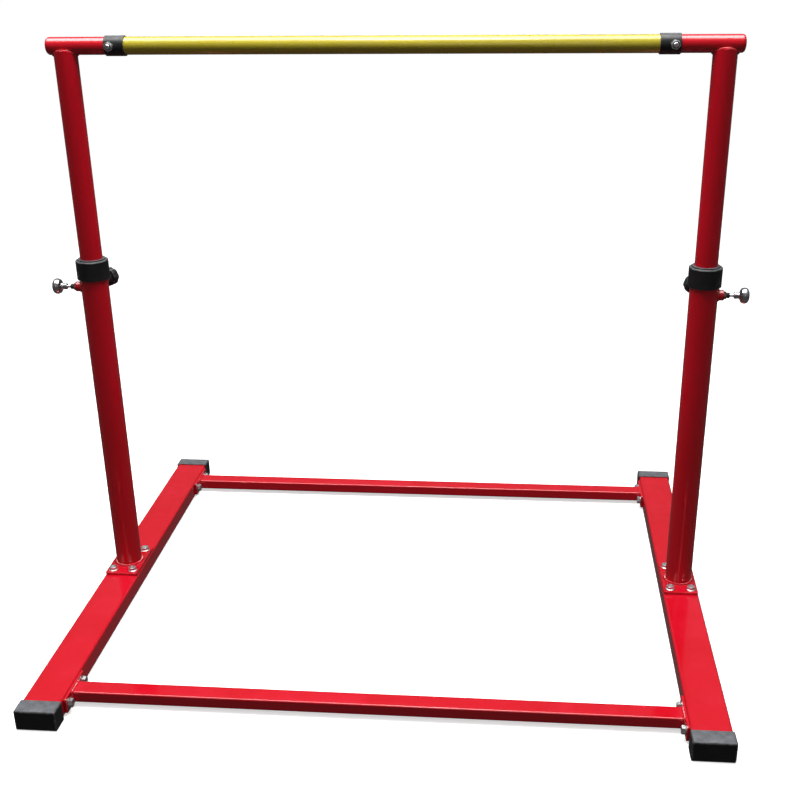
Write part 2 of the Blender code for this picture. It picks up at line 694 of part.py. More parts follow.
def make_upper_tube(name, side, parts, tools, material):
    """The sliding tube: a closed head coped to the stub, and a row of holes for the pull pin."""
    bore = UPPER_RADIUS - POST_WALL
    bore_top = UPPER_TOP - HEAD_THICKNESS
    profile = [(0.0, UPPER_TOP), (UPPER_RADIUS, UPPER_TOP), (UPPER_RADIUS, UPPER_BOTTOM),
               (bore, UPPER_BOTTOM), (bore, bore_top), (0.0, bore_top)]
    place = Matrix.Translation((post_x(side), 0.0, 0.0))
    tube = turned_object(name, profile, parts, material, place)
    cope = rod_mesh(name + "_cope", STUB_RADIUS + GAP, -UPPER_RADIUS * 2, UPPER_RADIUS * 2, TUBE_SEGMENTS)
    boolean(tube, crown_tool(name + "_crown", side, tools), "DIFFERENCE")
    cut(tube, cope, along((1, 0, 0), (post_x(side), 0.0, BAR_HEIGHT)), tools)
    hole = rod_mesh("pin_hole", PIN_HOLE_RADIUS, bore - CUT_MARGIN, UPPER_RADIUS + CUT_MARGIN, HOLE_SEGMENTS)
    for step in range(-PIN_HOLES_BELOW, PIN_HOLES_ABOVE + 1):
        centre = (post_x(side), 0.0, PIN_HEIGHT + step * PIN_HOLE_PITCH)
        cut(tube, hole, along((side, 0, 0), centre), tools)
    return finish(tube)


def bar_place(side):
    """A matrix on the bar's axis at a post, whose +Z points inwards."""
    return along((-side, 0, 0), (post_x(side), 0.0, BAR_HEIGHT))


def bolt_hole_across(side):
    """A matrix at the bar bolt, whose +Z points to the rear."""
    return along((0, 1, 0), (post_x(side) - side * BAR_BOLT_POSITION, 0.0, BAR_HEIGHT))


def bar_bolt_hole():
    return rod_mesh("bar_bolt_hole", BOLT_HOLE_RADIUS, -SLEEVE_RADIUS * 2, SLEEVE_RADIUS * 2, HOLE_SEGMENTS)


def make_stub(name, side, parts, tools, material):
    bore = STUB_RADIUS - STUB_WALL
    profile = [(STUB_RADIUS, STUB_INNER_END), (STUB_RADIUS, -STUB_OUTER_END), (bore, -STUB_OUTER_END),
               (bore, STUB_INNER_END)]
    stub = turned_object(name, profile, parts, material, bar_place(side))
    cut(stub, bar_bolt_hole(), bolt_hole_across(side), tools)
    return finish(stub)


def make_stub_plug(name, side, parts, material):
    """A domed plug pressed into the stub's outer end."""
    plug_radius = STUB_RADIUS - STUB_WALL - GAP
    rim = -STUB_OUTER_END - GAP
    dome = []
    for step in range(PLUG_DOME_STEPS + 1):
        angle = math.pi / 2 * step / PLUG_DOME_STEPS
        radius = STUB_RADIUS - PLUG_DOME * (1 - math.cos(angle))
        dome.append((radius, rim - PLUG_DOME * math.sin(angle)))
    profile = [(0.0, rim + PLUG_DEPTH), (plug_radius, rim + PLUG_DEPTH), (plug_radius, rim), *dome,
               (0.0, rim - PLUG_DOME)]
    return finish(turned_object(name, profile, parts, material, bar_place(side)))


def make_sleeve(name, side, parts, tools, material):
    bore = STUB_RADIUS + GAP
    profile = [(SLEEVE_RADIUS, SLEEVE_END), (SLEEVE_RADIUS, SLEEVE_START), (bore, SLEEVE_START),
               (bore, SLEEVE_END)]
    sleeve = turned_object(name, profile, parts, material, bar_place(side))
    cut(sleeve, bar_bolt_hole(), bolt_hole_across(side), tools)
    return finish(sleeve)


def make_bar(name, parts, tools, material):
    """The bar: a thick tube whose turned-down ends plug into the stubs."""
    shoulder = POST_SPACING / 2 - STUB_INNER_END - GAP
    tip = POST_SPACING / 2 - SPIGOT_END
    profile = [
        (SPIGOT_RADIUS, tip),
        (SPIGOT_RADIUS, shoulder),
        (BAR_RADIUS, shoulder),
        (BAR_RADIUS, -shoulder),
        (SPIGOT_RADIUS, -shoulder),
        (SPIGOT_RADIUS, -tip),
        (BAR_BORE_RADIUS, -tip),
        (BAR_BORE_RADIUS, tip),
    ]
    bar = turned_object(name, profile, parts, material, along((1, 0, 0), (0.0, 0.0, BAR_HEIGHT)))
    for side in SIDES.values():
        cut(bar, bar_bolt_hole(), bolt_hole_across(side), tools)
    return finish(bar)


def make_bar_bolts(parts, tools, material):
    seat = SLEEVE_RADIUS + GAP
    shank = 2 * seat + NUT_HEIGHT + BAR_BOLT_OVERHANG
    bolt = flange_bolt_mesh("bar_bolt", shank, tools)
    nut = lock_nut_mesh("bar_nut", tools)
    smooth(bolt)
    smooth(nut)
    for side_name, side in SIDES.items():
        x = post_x(side) - side * BAR_BOLT_POSITION
        place = along((0, 1, 0), (x, seat, BAR_HEIGHT))
        add_object(f"{side_name}_bar_bolt", bolt, parts, material, place)
        place = along((0, -1, 0), (x, -seat, BAR_HEIGHT))
        add_object(f"{side_name}_bar_nut", nut, parts, material, place)


# ---------------------------------------------------------------- assembly

def build():
    clear_scene()
    parts = new_collection("kip_bar")
    tools = new_collection("cutters")
    materials = make_materials()
    red = materials["red_powder_coat"]
    black = materials["black_plastic"]
    zinc = materials["zinc_plate"]
    dark = materials["dark_steel"]

    for side_name, side in SIDES.items():
        make_rail(f"{side_name}_rail", side, parts, tools, red)
        for end_name, end in ENDS.items():
            make_rail_cap(f"{side_name}_{end_name}_cap", side, end, parts, tools, black)
    for end_name, end in ENDS.items():
        make_crossbar(f"{end_name}_crossbar", end, parts, tools, red)
    make_base_bolts(parts, tools, zinc)

    for side_name, side in SIDES.items():
        outward = (side, 0, 0)
        make_base_plate(f"{side_name}_base_plate", side, parts, tools, red)
        make_lower_tube(f"{side_name}_lower_tube", side, parts, tools, red)
        make_boss(f"{side_name}_pin_boss", side, outward, PIN_HEIGHT, PIN_BOSS_RADIUS, BARREL_RADIUS + GAP,
                  PIN_BOSS_END, parts, tools, red)
        make_boss(f"{side_name}_clamp_boss", side, clamp_direction(side), CLAMP_HEIGHT, CLAMP_BOSS_RADIUS,
                  CLAMP_HOLE_RADIUS, CLAMP_BOSS_END, parts, tools, red)
        make_collar(f"{side_name}_collar", side, parts, black)
        make_barrel(f"{side_name}_pin_barrel", side, parts, tools, dark)
        make_plunger(f"{side_name}_pin_plunger", side, parts, zinc)
        make_pin_knob(f"{side_name}_pin_knob", side, parts, materials["chrome_plate"])
        make_pin_spring(f"{side_name}_pin_spring", side, parts, dark)
        make_clamp_washer(f"{side_name}_clamp_washer", side, parts, zinc)
        make_clamp_knob(f"{side_name}_clamp_knob", side, parts, tools, black)

    for side_name, side in SIDES.items():
        make_upper_tube(f"{side_name}_upper_tube", side, parts, tools, red)
        make_stub(f"{side_name}_stub", side, parts, tools, red)
        make_stub_plug(f"{side_name}_stub_plug", side, parts, red)
        make_sleeve(f"{side_name}_bar_sleeve", side, parts, tools, black)
    make_bar("bar", parts, tools, materials["yellow_coating"])
    make_bar_bolts(parts, tools, zinc)


build()
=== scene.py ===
"""Looks of the kip bar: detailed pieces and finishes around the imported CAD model, in the CAD's own frame."""
import json
import math

import bmesh
import bpy
from mathutils import Matrix, Vector, noise


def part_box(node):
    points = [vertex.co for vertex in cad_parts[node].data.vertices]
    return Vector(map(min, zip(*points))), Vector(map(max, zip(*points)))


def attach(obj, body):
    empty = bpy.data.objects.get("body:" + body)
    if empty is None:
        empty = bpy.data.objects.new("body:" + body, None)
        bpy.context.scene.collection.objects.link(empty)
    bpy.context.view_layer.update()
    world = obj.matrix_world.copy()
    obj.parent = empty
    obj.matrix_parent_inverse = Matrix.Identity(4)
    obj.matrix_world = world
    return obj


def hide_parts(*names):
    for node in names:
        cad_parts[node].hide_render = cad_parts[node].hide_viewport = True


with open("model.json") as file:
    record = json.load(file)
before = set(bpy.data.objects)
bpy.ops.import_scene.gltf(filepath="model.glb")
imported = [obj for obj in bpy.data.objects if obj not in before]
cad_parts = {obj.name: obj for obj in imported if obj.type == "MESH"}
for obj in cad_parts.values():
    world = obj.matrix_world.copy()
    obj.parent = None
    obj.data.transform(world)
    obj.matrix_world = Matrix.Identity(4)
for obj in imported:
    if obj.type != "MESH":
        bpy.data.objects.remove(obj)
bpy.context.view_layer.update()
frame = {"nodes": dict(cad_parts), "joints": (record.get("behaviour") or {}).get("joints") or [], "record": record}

RECORD = frame["record"]
SLOTS = {part["node"]: part["material_slot"] for part in RECORD["subparts"]}
BODIES = {node: body for body, nodes in RECORD["behaviour"]["bodies"].items() for node in nodes}
JOINTS = {joint["name"]: joint for joint in frame["joints"]}
SIDES = {"left": -1, "right": 1}
ENDS = {"front": -1, "rear": 1}
UP = Vector((0.0, 0.0, 1.0))

# How finely things are built
FINE_STEPS = 128
TUBE_STEPS = 96
SMALL_STEPS = 64
FILLET_STEPS = 6
SUPPORT = 0.0012
SMOOTH_ANGLE = math.radians(32)
WEAR_FROM = math.radians(6)
WEAR_FULL = math.radians(12)

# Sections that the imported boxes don't tell
GAP = 0.0003
RAIL_CORNER = 0.005
RAIL_WALL = 0.002
CAP_CORNER = 0.0035
CAP_END_WALL = 0.0045
CROSSBAR_DEPTH = 0.040
CROSSBAR_HEIGHT = 0.025
CROSSBAR_CORNER = 0.003
FLANGE_THICKNESS = 0.005
FLANGE_CORNER = 0.004
PLATE_CORNER = 0.005
EDGE = 0.0007
SAWN_EDGE = 0.0003
POST_WALL = 0.0015
CROWN_RADIUS = 0.040
PIN_HOLE_RADIUS = 0.0045
PIN_HOLE_PITCH = 0.100
PIN_HOLES = 6
HOLES_BELOW = 2
STUB_WALL = 0.002
BAR_BORE = 0.0125
SPIGOT_RADIUS = 0.0152
COLLAR_LIP_RADIUS = 0.0295
COLLAR_LIP_HEIGHT = 0.003

# Flanged bolts: the rim is (inset, height) and the dish (radius, depth)
BOLT_STEPS = 48
BOLT_RADIUS = 0.005
BOLT_PITCH = 0.0015
BASE_BOLT_LENGTH = 0.022
BAR_BOLT_THREAD = 0.014
FLANGE_RADIUS = 0.0105
FLANGE_RIM = ((0.0004, 0.0), (0.0, 0.0004), (0.0, 0.0009), (0.0004, 0.0013))
HEX_RADIUS = 0.0092
HEX_START = 0.0021
HEX_FACE = 0.97
HEX_CHAMFER = math.radians(28)
HEAD_HEIGHT = 0.0085
HEAD_DISH = ((0.0050, 0.0001), (0.0044, 0.0008), (0.0020, 0.0010))
THREAD_ROWS = 8
THREAD_DEPTH = 0.6

# Lock nuts
NUT_HEX_RADIUS = 0.0098
NUT_HEX_HEIGHT = 0.0062
NUT_COLLAR_RADIUS = 0.0078
NUT_COLLAR_WALL = 0.0011
NUT_HEIGHT = 0.0085
NUT_RECESS = 0.0028

# Pull pins, with distances outwards from the post's axis
PIN_STEPS = 48
BARREL_RADIUS = 0.006
BARREL_HEX_RADIUS = 0.0085
BARREL_HEX_LENGTH = 0.0042
BARREL_PITCH = 0.00125
BARREL_BORE = 0.0051
BARREL_NECK = 0.0043
BARREL_FLOOR = 0.0015
NOSE_RADIUS = 0.0040
SHOULDER_RADIUS = 0.0047
SHOULDER_START = 0.0327
SHOULDER_END = 0.0340
STEM_RADIUS = 0.0030
STEM_BORE = 0.0033
KNOB_NECK = 0.012
SOCKET_END = 0.0803

# Clamps, with distances along the screw from the post's axis
CLAMP_BOSS_END = 0.040
WASHER_RADIUS = 0.0105
WASHER_START = 0.0404
WASHER_END = 0.0420
STUD_RADIUS = 0.004
STUD_START = 0.0245
CLAMP_START = 0.0423
CLAMP_RIM = 0.0483
CLAMP_END = 0.066
CLAMP_RADIUS = 0.0205
LOBES = 8
LOBE_DEPTH = 0.0012
LOWER_ROUND = 0.0025
UPPER_ROUND = 0.0030

# Weld beads
BEAD_STEPS = 12
BEAD_SPACING = 0.0006
FINE_SPACING = 0.0005
RIPPLE_LENGTH = 0.0026
RIPPLE_DEPTH = 0.09
CROSSBAR_BEAD = 0.0028
FOOT_BEAD = 0.0040
PIN_BEAD = 0.0022
CLAMP_BEAD = 0.0020
HEAD_BEAD = 0.0030

# Shapes that cut holes and hollows, and how near turned shapes come to their axis
CUTTER_END = 0.05
HOLE_MARGIN = 0.01
HOLE_STEPS = 24
ROW_HOLE_STEPS = 32
ROW_HOLE_END = 0.04
ARCH_REACH = 0.031
ARCH_STEPS = 32
AXIS_HOLE = 0.0003
AXIS_HOLE_WIDE = 0.0004

# Studio, with the sky's stops as (height, brightness)
FLOOR_RADIUS = 45.0
FLOOR_DEPTH = 0.2
FLOOR_DROP = 0.0002
BACKDROP_RADIUS = 44.0
BACKDROP_RINGS = 17
SKY = ((0.06, 0.07), (0.30, 0.10), (0.62, 0.16))
CAMERA_PLACE = (0.2739, -2.4030, 1.4358)
CAMERA_YAW = -0.09055
CAMERA_PITCH = 0.41149
CAMERA_ROLL = -0.01165
CAMERA_LENS = 52.04
CAMERA_SHIFT = (-0.0251, 0.0517)


# ---------------------------------------------------------------- shapes

def fillet(points, radii, closed):
    """Round the corners of a 2-D line, with a support point on each side of every rounded corner."""
    made = []
    count = len(points)
    for index, point in enumerate(points):
        radius = radii[index]
        at_end = not closed and index in (0, count - 1)
        if at_end or radius <= 0.0:
            made.append(point)
            continue
        here = Vector(point)
        before = Vector(points[index - 1]) - here
        after = Vector(points[(index + 1) % count]) - here
        room = 0.45 * min(before.length, after.length)
        before.normalize()
        after.normalize()
        half = before.angle(after) / 2
        reach = min(radius / math.tan(half), room)
        radius = reach * math.tan(half)
        centre = here + (before + after).normalized() * radius / math.sin(half)
        support = min(SUPPORT, (room - reach) / 2 + 0.0001)
        start = here + before * reach - centre
        end = here + after * reach - centre
        made.append(tuple(here + before * (reach + support)))
        for step in range(FILLET_STEPS + 1):
            arm = start.lerp(end, step / FILLET_STEPS).normalized() * radius
            made.append(tuple(centre + arm))
        made.append(tuple(here + after * (reach + support)))
    return made


def rectangle(width, height, radius):
    x = width / 2
    y = height / 2
    return fillet([(x, y), (-x, y), (-x, -y), (x, -y)], [radius] * 4, True)


def turns(steps):
    """Evenly spaced angles round a full turn."""
    return [2 * math.pi * step / steps for step in range(steps)]


def ring_at(radius, height, steps):
    return [Vector((radius * math.cos(angle), radius * math.sin(angle), height)) for angle in turns(steps)]


def rod(radius, low, high, steps):
    """The two end rings of a plain rod."""
    return [ring_at(radius, low, steps), ring_at(radius, high, steps)]


def turned(profile, radii, steps=TUBE_STEPS, closed=False):
    """Rings around Z of a profile of (radius, height) points, its corners rounded."""
    return [ring_at(radius, height, steps) for radius, height in fillet(profile, radii, closed)]


def stacked(outline, layers):
    """Rings of an outline, one for each (inset, height), where outline(inset) gives the points."""
    return [[Vector((x, y, height)) for x, y in outline(inset)] for inset, height in layers]


def add_rings(shape, rings, closed):
    """Join rings of equal length into a surface, closed on itself or capped at both ends."""
    rows = [[shape.verts.new(point) for point in ring] for ring in rings]
    count = len(rows[0])
    pairs = list(zip(rows, rows[1:]))
    if closed:
        pairs.append((rows[-1], rows[0]))
    for low, high in pairs:
        for index in range(count):
            following = (index + 1) % count
            shape.faces.new((low[index], low[following], high[following], high[index]))
    if not closed:
        shape.faces.new(list(reversed(rows[0])))
        shape.faces.new(rows[-1])


def mark_edges(mesh):
    """Store on each point how much the surface turns there, which the finishes read as edge wear."""
    shape = bmesh.new()
    shape.from_mesh(mesh)
    values = []
    for vert in shape.verts:
        turn = max((edge.calc_face_angle(0.0) for edge in vert.link_edges), default=0.0)
        values.append(min(max((turn - WEAR_FROM) / (WEAR_FULL - WEAR_FROM), 0.0), 1.0))
    shape.free()
    attribute = mesh.attributes.new("edge_wear", "FLOAT", "POINT")
    attribute.data.foreach_set("value", values)


def mesh_of(name, *surfaces):
    """A mesh from surfaces of (rings, closed)."""
    shape = bmesh.new()
    for rings, closed in surfaces:
        add_rings(shape, rings, closed)
    bmesh.ops.remove_doubles(shape, verts=shape.verts, dist=1e-7)
    bmesh.ops.recalc_face_normals(shape, faces=shape.faces)
    mesh = bpy.data.meshes.new(name)
    shape.to_mesh(mesh)
    shape.free()
    finish_mesh(mesh)
    return mesh


def finish_mesh(mesh):
    mesh.shade_smooth()
    mesh.set_sharp_from_angle(angle=SMOOTH_ANGLE)
    mark_edges(mesh)


def facing(direction, position):
    """A matrix at a position whose +Z is a horizontal direction and whose +Y is up."""
    ahead = Vector(direction).normalized()
    across = UP.cross(ahead)
    matrix = Matrix((across, UP, ahead)).transposed().to_4x4()
    return Matrix.Translation(position) @ matrix


def middle(node):
    low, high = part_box(node)
    return (low + high) / 2


def extent(node):
    low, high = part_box(node)
    return high - low


def stand_in(node, mesh, matrix=None):
    """A piece that takes the place of a CAD node, on its body and in its finish."""
    piece = bpy.data.objects.new(node + "_piece", mesh)
    bpy.context.scene.collection.objects.link(piece)
    if matrix is not None:
        piece.matrix_world = matrix
    if not mesh.materials:
        mesh.materials.append(FINISHES[SLOTS[node]])
    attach(piece, BODIES[node])
    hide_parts(node)
    return piece


def turned_piece(node, profile, radii, place, steps=TUBE_STEPS, hollow=True):
    """A stand-in turned about the place's Z; a hollow one has a profile that closes on itself."""
    return stand_in(node, mesh_of(node, (turned(profile, radii, steps, hollow), hollow)), place)


def extra_piece(name, mesh, body, slot, matrix=None):
    """A piece with no CAD node of its own, such as a weld."""
    piece = bpy.data.objects.new(name, mesh)
    bpy.context.scene.collection.objects.link(piece)
    if matrix is not None:
        piece.matrix_world = matrix
    mesh.materials.append(FINISHES[slot])
    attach(piece, body)
    return piece


def bored(piece, cutters):
    """Cut closed shapes out of a piece and keep the result as its mesh."""
    tools = []
    for mesh in cutters:
        tool = bpy.data.objects.new("cutter", mesh)
        bpy.context.scene.collection.objects.link(tool)
        modifier = piece.modifiers.new("cut", "BOOLEAN")
        modifier.solver = "EXACT"
        modifier.object = tool
        tools.append(tool)
    depsgraph = bpy.context.evaluated_depsgraph_get()
    mesh = bpy.data.meshes.new_from_object(piece.evaluated_get(depsgraph))
    piece.modifiers.clear()
    piece.data = mesh
    for tool in tools:
        bpy.data.objects.remove(tool, do_unlink=True)
    finish_mesh(mesh)


# ---------------------------------------------------------------- finishes

class Graph:
    """Adds nodes to a material, wiring each input that is given a socket and setting the rest."""

    def __init__(self, name):
        self.material = bpy.data.materials.new(name)
        self.material.use_nodes = True
        self.tree = self.material.node_tree
        self.shader = self.tree.nodes["Principled BSDF"]
        self.place = self.node("ShaderNodeTexCoord").outputs["Object"]

    def node(self, kind, inputs=None, **settings):
        made = self.tree.nodes.new(kind)
        for key, value in settings.items():
            setattr(made, key, value)
        for key, value in (inputs or {}).items():
            self.feed(made.inputs[key], value)
        return made

    def feed(self, socket, value):
        if isinstance(value, bpy.types.NodeSocket):
            self.tree.links.new(value, socket)
        else:
            socket.default_value = value

    def noise(self, scale, detail=2.0, roughness=0.5, stretch=None):
        place = self.place
        if stretch:
            place = self.node("ShaderNodeMapping", {"Vector": place, "Scale": stretch}).outputs["Vector"]
        made = self.node("ShaderNodeTexNoise", {
            "Vector": place, "Scale": scale, "Detail": detail, "Roughness": roughness})
        return made.outputs["Fac"]

    def ranged(self, value, low, high, to_low, to_high):
        made = self.node("ShaderNodeMapRange", {
            "Value": value, "From Min": low, "From Max": high, "To Min": to_low, "To Max": to_high})
        return made.outputs["Result"]

    def maths(self, operation, first, second):
        return self.node("ShaderNodeMath", {0: first, 1: second}, operation=operation).outputs[0]

    def blend(self, amount, first, second):
        made = self.node("ShaderNodeMix", {0: amount, 6: first, 7: second}, data_type="RGBA")
        return made.outputs[2]

    def edges(self):
        return self.node("ShaderNodeAttribute", attribute_name="edge_wear").outputs["Fac"]

    def upward(self, low, high):
        """1 where a surface faces up, 0 where it faces sideways or down."""
        normal = self.node("ShaderNodeNewGeometry").outputs["Normal"]
        height = self.node("ShaderNodeSeparateXYZ", {0: normal}).outputs["Z"]
        return self.ranged(height, low, high, 0.0, 1.0)

    def bump(self, height, distance, strength, below=None):
        inputs = {"Height": height, "Distance": distance, "Strength": strength}
        if below is not None:
            inputs["Normal"] = below
        return self.node("ShaderNodeBump", inputs).outputs["Normal"]

    def surface(self, **inputs):
        for name, value in inputs.items():
            self.feed(self.shader.inputs[name.replace("_", " ")], value)
        return self.material


def colour(red, green, blue):
    return (red, green, blue, 1.0)


def powder_coat(name):
    """Glossy red powder coat: orange peel, a patchy lighter red on up-facing surfaces that is partly dusting and
    partly painted sheen, dark chips on edges and fine scuffs.
    """
    graph = Graph(name)
    broad = graph.ranged(graph.noise(4.0, 3.0), 0.3, 0.7, 0.0, 1.0)
    tone = graph.blend(broad, colour(0.56, 0.0015, 0.009), colour(0.65, 0.0025, 0.016))
    # painted sheen: up-facing surfaces turn a lighter red in places, partly dusting and partly painted light on
    # the tops
    sheen_and_dust_patches = graph.ranged(graph.noise(9.0, 5.0, 0.6), 0.45, 0.68, 0.0, 0.7)
    dust_and_sheen = graph.maths("MULTIPLY", sheen_and_dust_patches, graph.upward(0.6, 1.0))
    dust_and_sheen_tone = graph.blend(dust_and_sheen, tone, colour(0.68, 0.007, 0.026))
    chips = graph.ranged(graph.noise(160.0, 4.0, 0.7), 0.55, 0.66, 0.0, 0.7)
    worn = graph.maths("MULTIPLY", chips, graph.edges())
    edged = graph.blend(worn, dust_and_sheen_tone, colour(0.30, 0.012, 0.016))
    specks = graph.ranged(graph.noise(1500.0, 1.0), 0.70, 0.76, 0.0, 0.4)
    final = graph.blend(specks, edged, colour(0.66, 0.03, 0.045))
    scuffs = graph.ranged(graph.noise(180.0, 4.0, 0.7, (1.0, 1.0, 0.08)), 0.56, 0.7, 0.0, 0.025)
    rough = graph.maths("ADD", graph.ranged(graph.noise(45.0, 3.0), 0.3, 0.7, 0.13, 0.20), scuffs)
    rough = graph.maths("ADD", rough, graph.maths("MULTIPLY", dust_and_sheen, 0.06))
    peel = graph.bump(graph.noise(420.0, 1.5), 0.00005, 0.16)
    relief = graph.bump(graph.noise(60.0, 2.0), 0.0003, 0.08, peel)
    return graph.surface(Base_Color=final, Roughness=rough, Normal=relief, Coat_Weight=0.9,
                         Coat_Roughness=0.05, Specular_IOR_Level=0.42)


def bar_coating(name):
    """Satin yellow coating: fine speckle, faint lengthwise streaks and grip smudges."""
    graph = Graph(name)
    streaks = graph.ranged(graph.noise(60.0, 4.0, 0.6, (1.0, 1.0, 0.05)), 0.35, 0.65, 0.0, 1.0)
    tone = graph.blend(streaks, colour(0.44, 0.36, 0.018), colour(0.51, 0.42, 0.030))
    smudges = graph.ranged(graph.noise(9.0, 5.0, 0.65), 0.52, 0.72, 0.0, 0.35)
    smudged = graph.blend(smudges, tone, colour(0.41, 0.33, 0.04))
    specks = graph.ranged(graph.noise(900.0, 2.0), 0.66, 0.74, 0.0, 0.5)
    speckled = graph.blend(specks, smudged, colour(0.35, 0.275, 0.025))
    worn = graph.maths("MULTIPLY", graph.ranged(graph.noise(220.0, 3.0), 0.5, 0.62, 0.0, 0.6), graph.edges())
    final = graph.blend(worn, speckled, colour(0.35, 0.30, 0.12))
    rough = graph.ranged(graph.noise(25.0, 4.0), 0.3, 0.7, 0.22, 0.32)
    grain = graph.bump(graph.noise(700.0, 2.0), 0.00005, 0.4)
    return graph.surface(Base_Color=final, Roughness=rough, Normal=grain, Coat_Weight=0.5,
                         Coat_Roughness=0.12)


def moulded_plastic(name):
    """Satin black plastic: fine spark-eroded grain, a grey painted sheen with some dusting on up-facing surfaces,
    and paler rubbed edges.
    """
    graph = Graph(name)
    broad = graph.ranged(graph.noise(30.0, 3.0), 0.3, 0.7, 0.0, 1.0)
    tone = graph.blend(broad, colour(0.007, 0.007, 0.008), colour(0.013, 0.013, 0.014))
    # painted reflection: up-facing surfaces turn grey in places, a painted sheen of the bright sky with some
    # dusting
    sheen_mottle = graph.ranged(graph.noise(70.0, 5.0, 0.65), 0.3, 0.7, 0.45, 1.0)
    dust_and_sheen = graph.maths("MULTIPLY", sheen_mottle, graph.upward(0.86, 1.0))
    dust_and_sheen_tone = graph.blend(dust_and_sheen, tone, colour(0.17, 0.18, 0.195))
    rubs = graph.ranged(graph.noise(120.0, 3.0), 0.35, 0.7, 0.1, 0.8)
    rubbed = graph.maths("MULTIPLY", rubs, graph.edges())
    final = graph.blend(rubbed, dust_and_sheen_tone, colour(0.12, 0.12, 0.125))
    rough = graph.ranged(graph.noise(55.0, 4.0), 0.3, 0.7, 0.36, 0.52)
    grain = graph.bump(graph.noise(1700.0, 2.0), 0.00008, 0.35)
    return graph.surface(Base_Color=final, Roughness=rough, Normal=grain)


def zinc(name):
    """Bright zinc plate: mottled passivation, fine tool marks and duller corners."""
    graph = Graph(name)
    mottle = graph.ranged(graph.noise(240.0, 4.0, 0.6), 0.35, 0.65, 0.0, 1.0)
    tone = graph.blend(mottle, colour(0.74, 0.74, 0.76), colour(0.86, 0.84, 0.82))
    worn = graph.maths("MULTIPLY", graph.ranged(graph.noise(500.0, 2.0), 0.4, 0.6, 0.0, 0.8), graph.edges())
    final = graph.blend(worn, tone, colour(0.45, 0.45, 0.46))
    rough = graph.ranged(graph.noise(320.0, 3.0), 0.3, 0.7, 0.32, 0.48)
    marks = graph.bump(graph.noise(900.0, 3.0, 0.6, (1.0, 1.0, 4.0)), 0.00004, 0.4)
    return graph.surface(Base_Color=final, Roughness=rough, Normal=marks, Metallic=1.0)


def chrome(name):
    """Polished chrome with faint finger smudges and hairline turning marks."""
    graph = Graph(name)
    smudge = graph.ranged(graph.noise(150.0, 5.0, 0.6), 0.45, 0.7, 0.0, 1.0)
    tone = graph.blend(smudge, colour(0.78, 0.79, 0.81), colour(0.62, 0.62, 0.63))
    rough = graph.ranged(smudge, 0.0, 1.0, 0.06, 0.20)
    marks = graph.bump(graph.noise(400.0, 2.0, 0.5, (0.2, 0.2, 8.0)), 0.00002, 0.25)
    return graph.surface(Base_Color=tone, Roughness=rough, Normal=marks, Metallic=1.0)


def dark_steel(name):
    """Dark oiled steel of the pin barrels and springs."""
    graph = Graph(name)
    mottle = graph.ranged(graph.noise(800.0, 3.0), 0.35, 0.65, 0.0, 1.0)
    tone = graph.blend(mottle, colour(0.09, 0.09, 0.095), colour(0.17, 0.165, 0.16))
    rough = graph.ranged(graph.noise(600.0, 2.0), 0.3, 0.7, 0.28, 0.42)
    marks = graph.bump(graph.noise(1800.0, 2.0), 0.00002, 0.3)
    return graph.surface(Base_Color=tone, Roughness=rough, Normal=marks, Metallic=1.0)


def pale_floor(name):
    graph = Graph(name)
    cloud = graph.ranged(graph.noise(0.8, 4.0), 0.3, 0.7, 0.0, 1.0)
    tone = graph.blend(cloud, colour(0.93, 0.93, 0.93), colour(0.95, 0.95, 0.95))
    grain = graph.bump(graph.noise(300.0, 2.0), 0.0002, 0.1)
    return graph.surface(Base_Color=tone, Roughness=0.8, Normal=grain, Emission_Color=tone,
                         Emission_Strength=0.63)


def pale_backdrop(name):
    graph = Graph(name)
    cloud = graph.ranged(graph.noise(0.05, 2.0), 0.3, 0.7, 1.05, 1.10)
    return graph.surface(Base_Color=colour(0.0, 0.0, 0.0), Roughness=1.0, Specular_IOR_Level=0.0,
                         Emission_Color=colour(1.0, 1.0, 1.0), Emission_Strength=cloud)


FINISHES = {
    "red_powder_coat": powder_coat("red_powder_coat_look"),
    "yellow_coating": bar_coating("yellow_coating_look"),
    "black_plastic": moulded_plastic("black_plastic_look"),
    "zinc_plate": zinc("zinc_plate_look"),
    "chrome_plate": chrome("chrome_plate_look"),
    "dark_steel": dark_steel("dark_steel_look"),
}


# ---------------------------------------------------------------- welds

def bead(line, spacing, radius, seed):
    """Rings of a rippled weld bead along a closed line of points."""
    path = evenly(line, spacing)
    rings = []
    count = len(path)
    travelled = 0.0
    for index, point in enumerate(path):
        behind = path[index - 1]
        ahead = path[(index + 1) % count]
        travelled += (point - behind).length
        forward = (ahead - behind).normalized()
        across = forward.orthogonal().normalized()
        if abs(forward.z) < 0.95:
            across = forward.cross(UP).normalized()
        over = across.cross(forward).normalized()
        ripple = RIPPLE_DEPTH * math.sin(2 * math.pi * travelled / RIPPLE_LENGTH)
        wander = 0.24 * noise.noise(point * 90.0 + Vector((seed, 0.0, 0.0)))
        size = radius * (1.0 + ripple + wander)
        rings.append([point + across * math.cos(angle) * size + over * math.sin(angle) * size
                      for angle in turns(BEAD_STEPS)])
    return rings


def evenly(corners, spacing):
    """Points at an even spacing along a closed line through the given points."""
    lengths = []
    for index, point in enumerate(corners):
        lengths.append((corners[(index + 1) % len(corners)] - point).length)
    total = sum(lengths)
    count = int(total / spacing)
    made = []
    index = 0
    passed = 0.0
    for step in range(count):
        goal = total * step / count
        while goal > passed + lengths[index]:
            passed += lengths[index]
            index += 1
        share = (goal - passed) / lengths[index]
        made.append(corners[index].lerp(corners[(index + 1) % len(corners)], share))
    return made


def circle(radius, height, matrix):
    return [matrix @ point for point in ring_at(radius, height, TUBE_STEPS)]


def saddle(radius, tube_radius, matrix):
    """The line where a boss of one radius meets an upright tube of another."""
    return [matrix @ point for point in coped_ring(radius, tube_radius, TUBE_STEPS)]


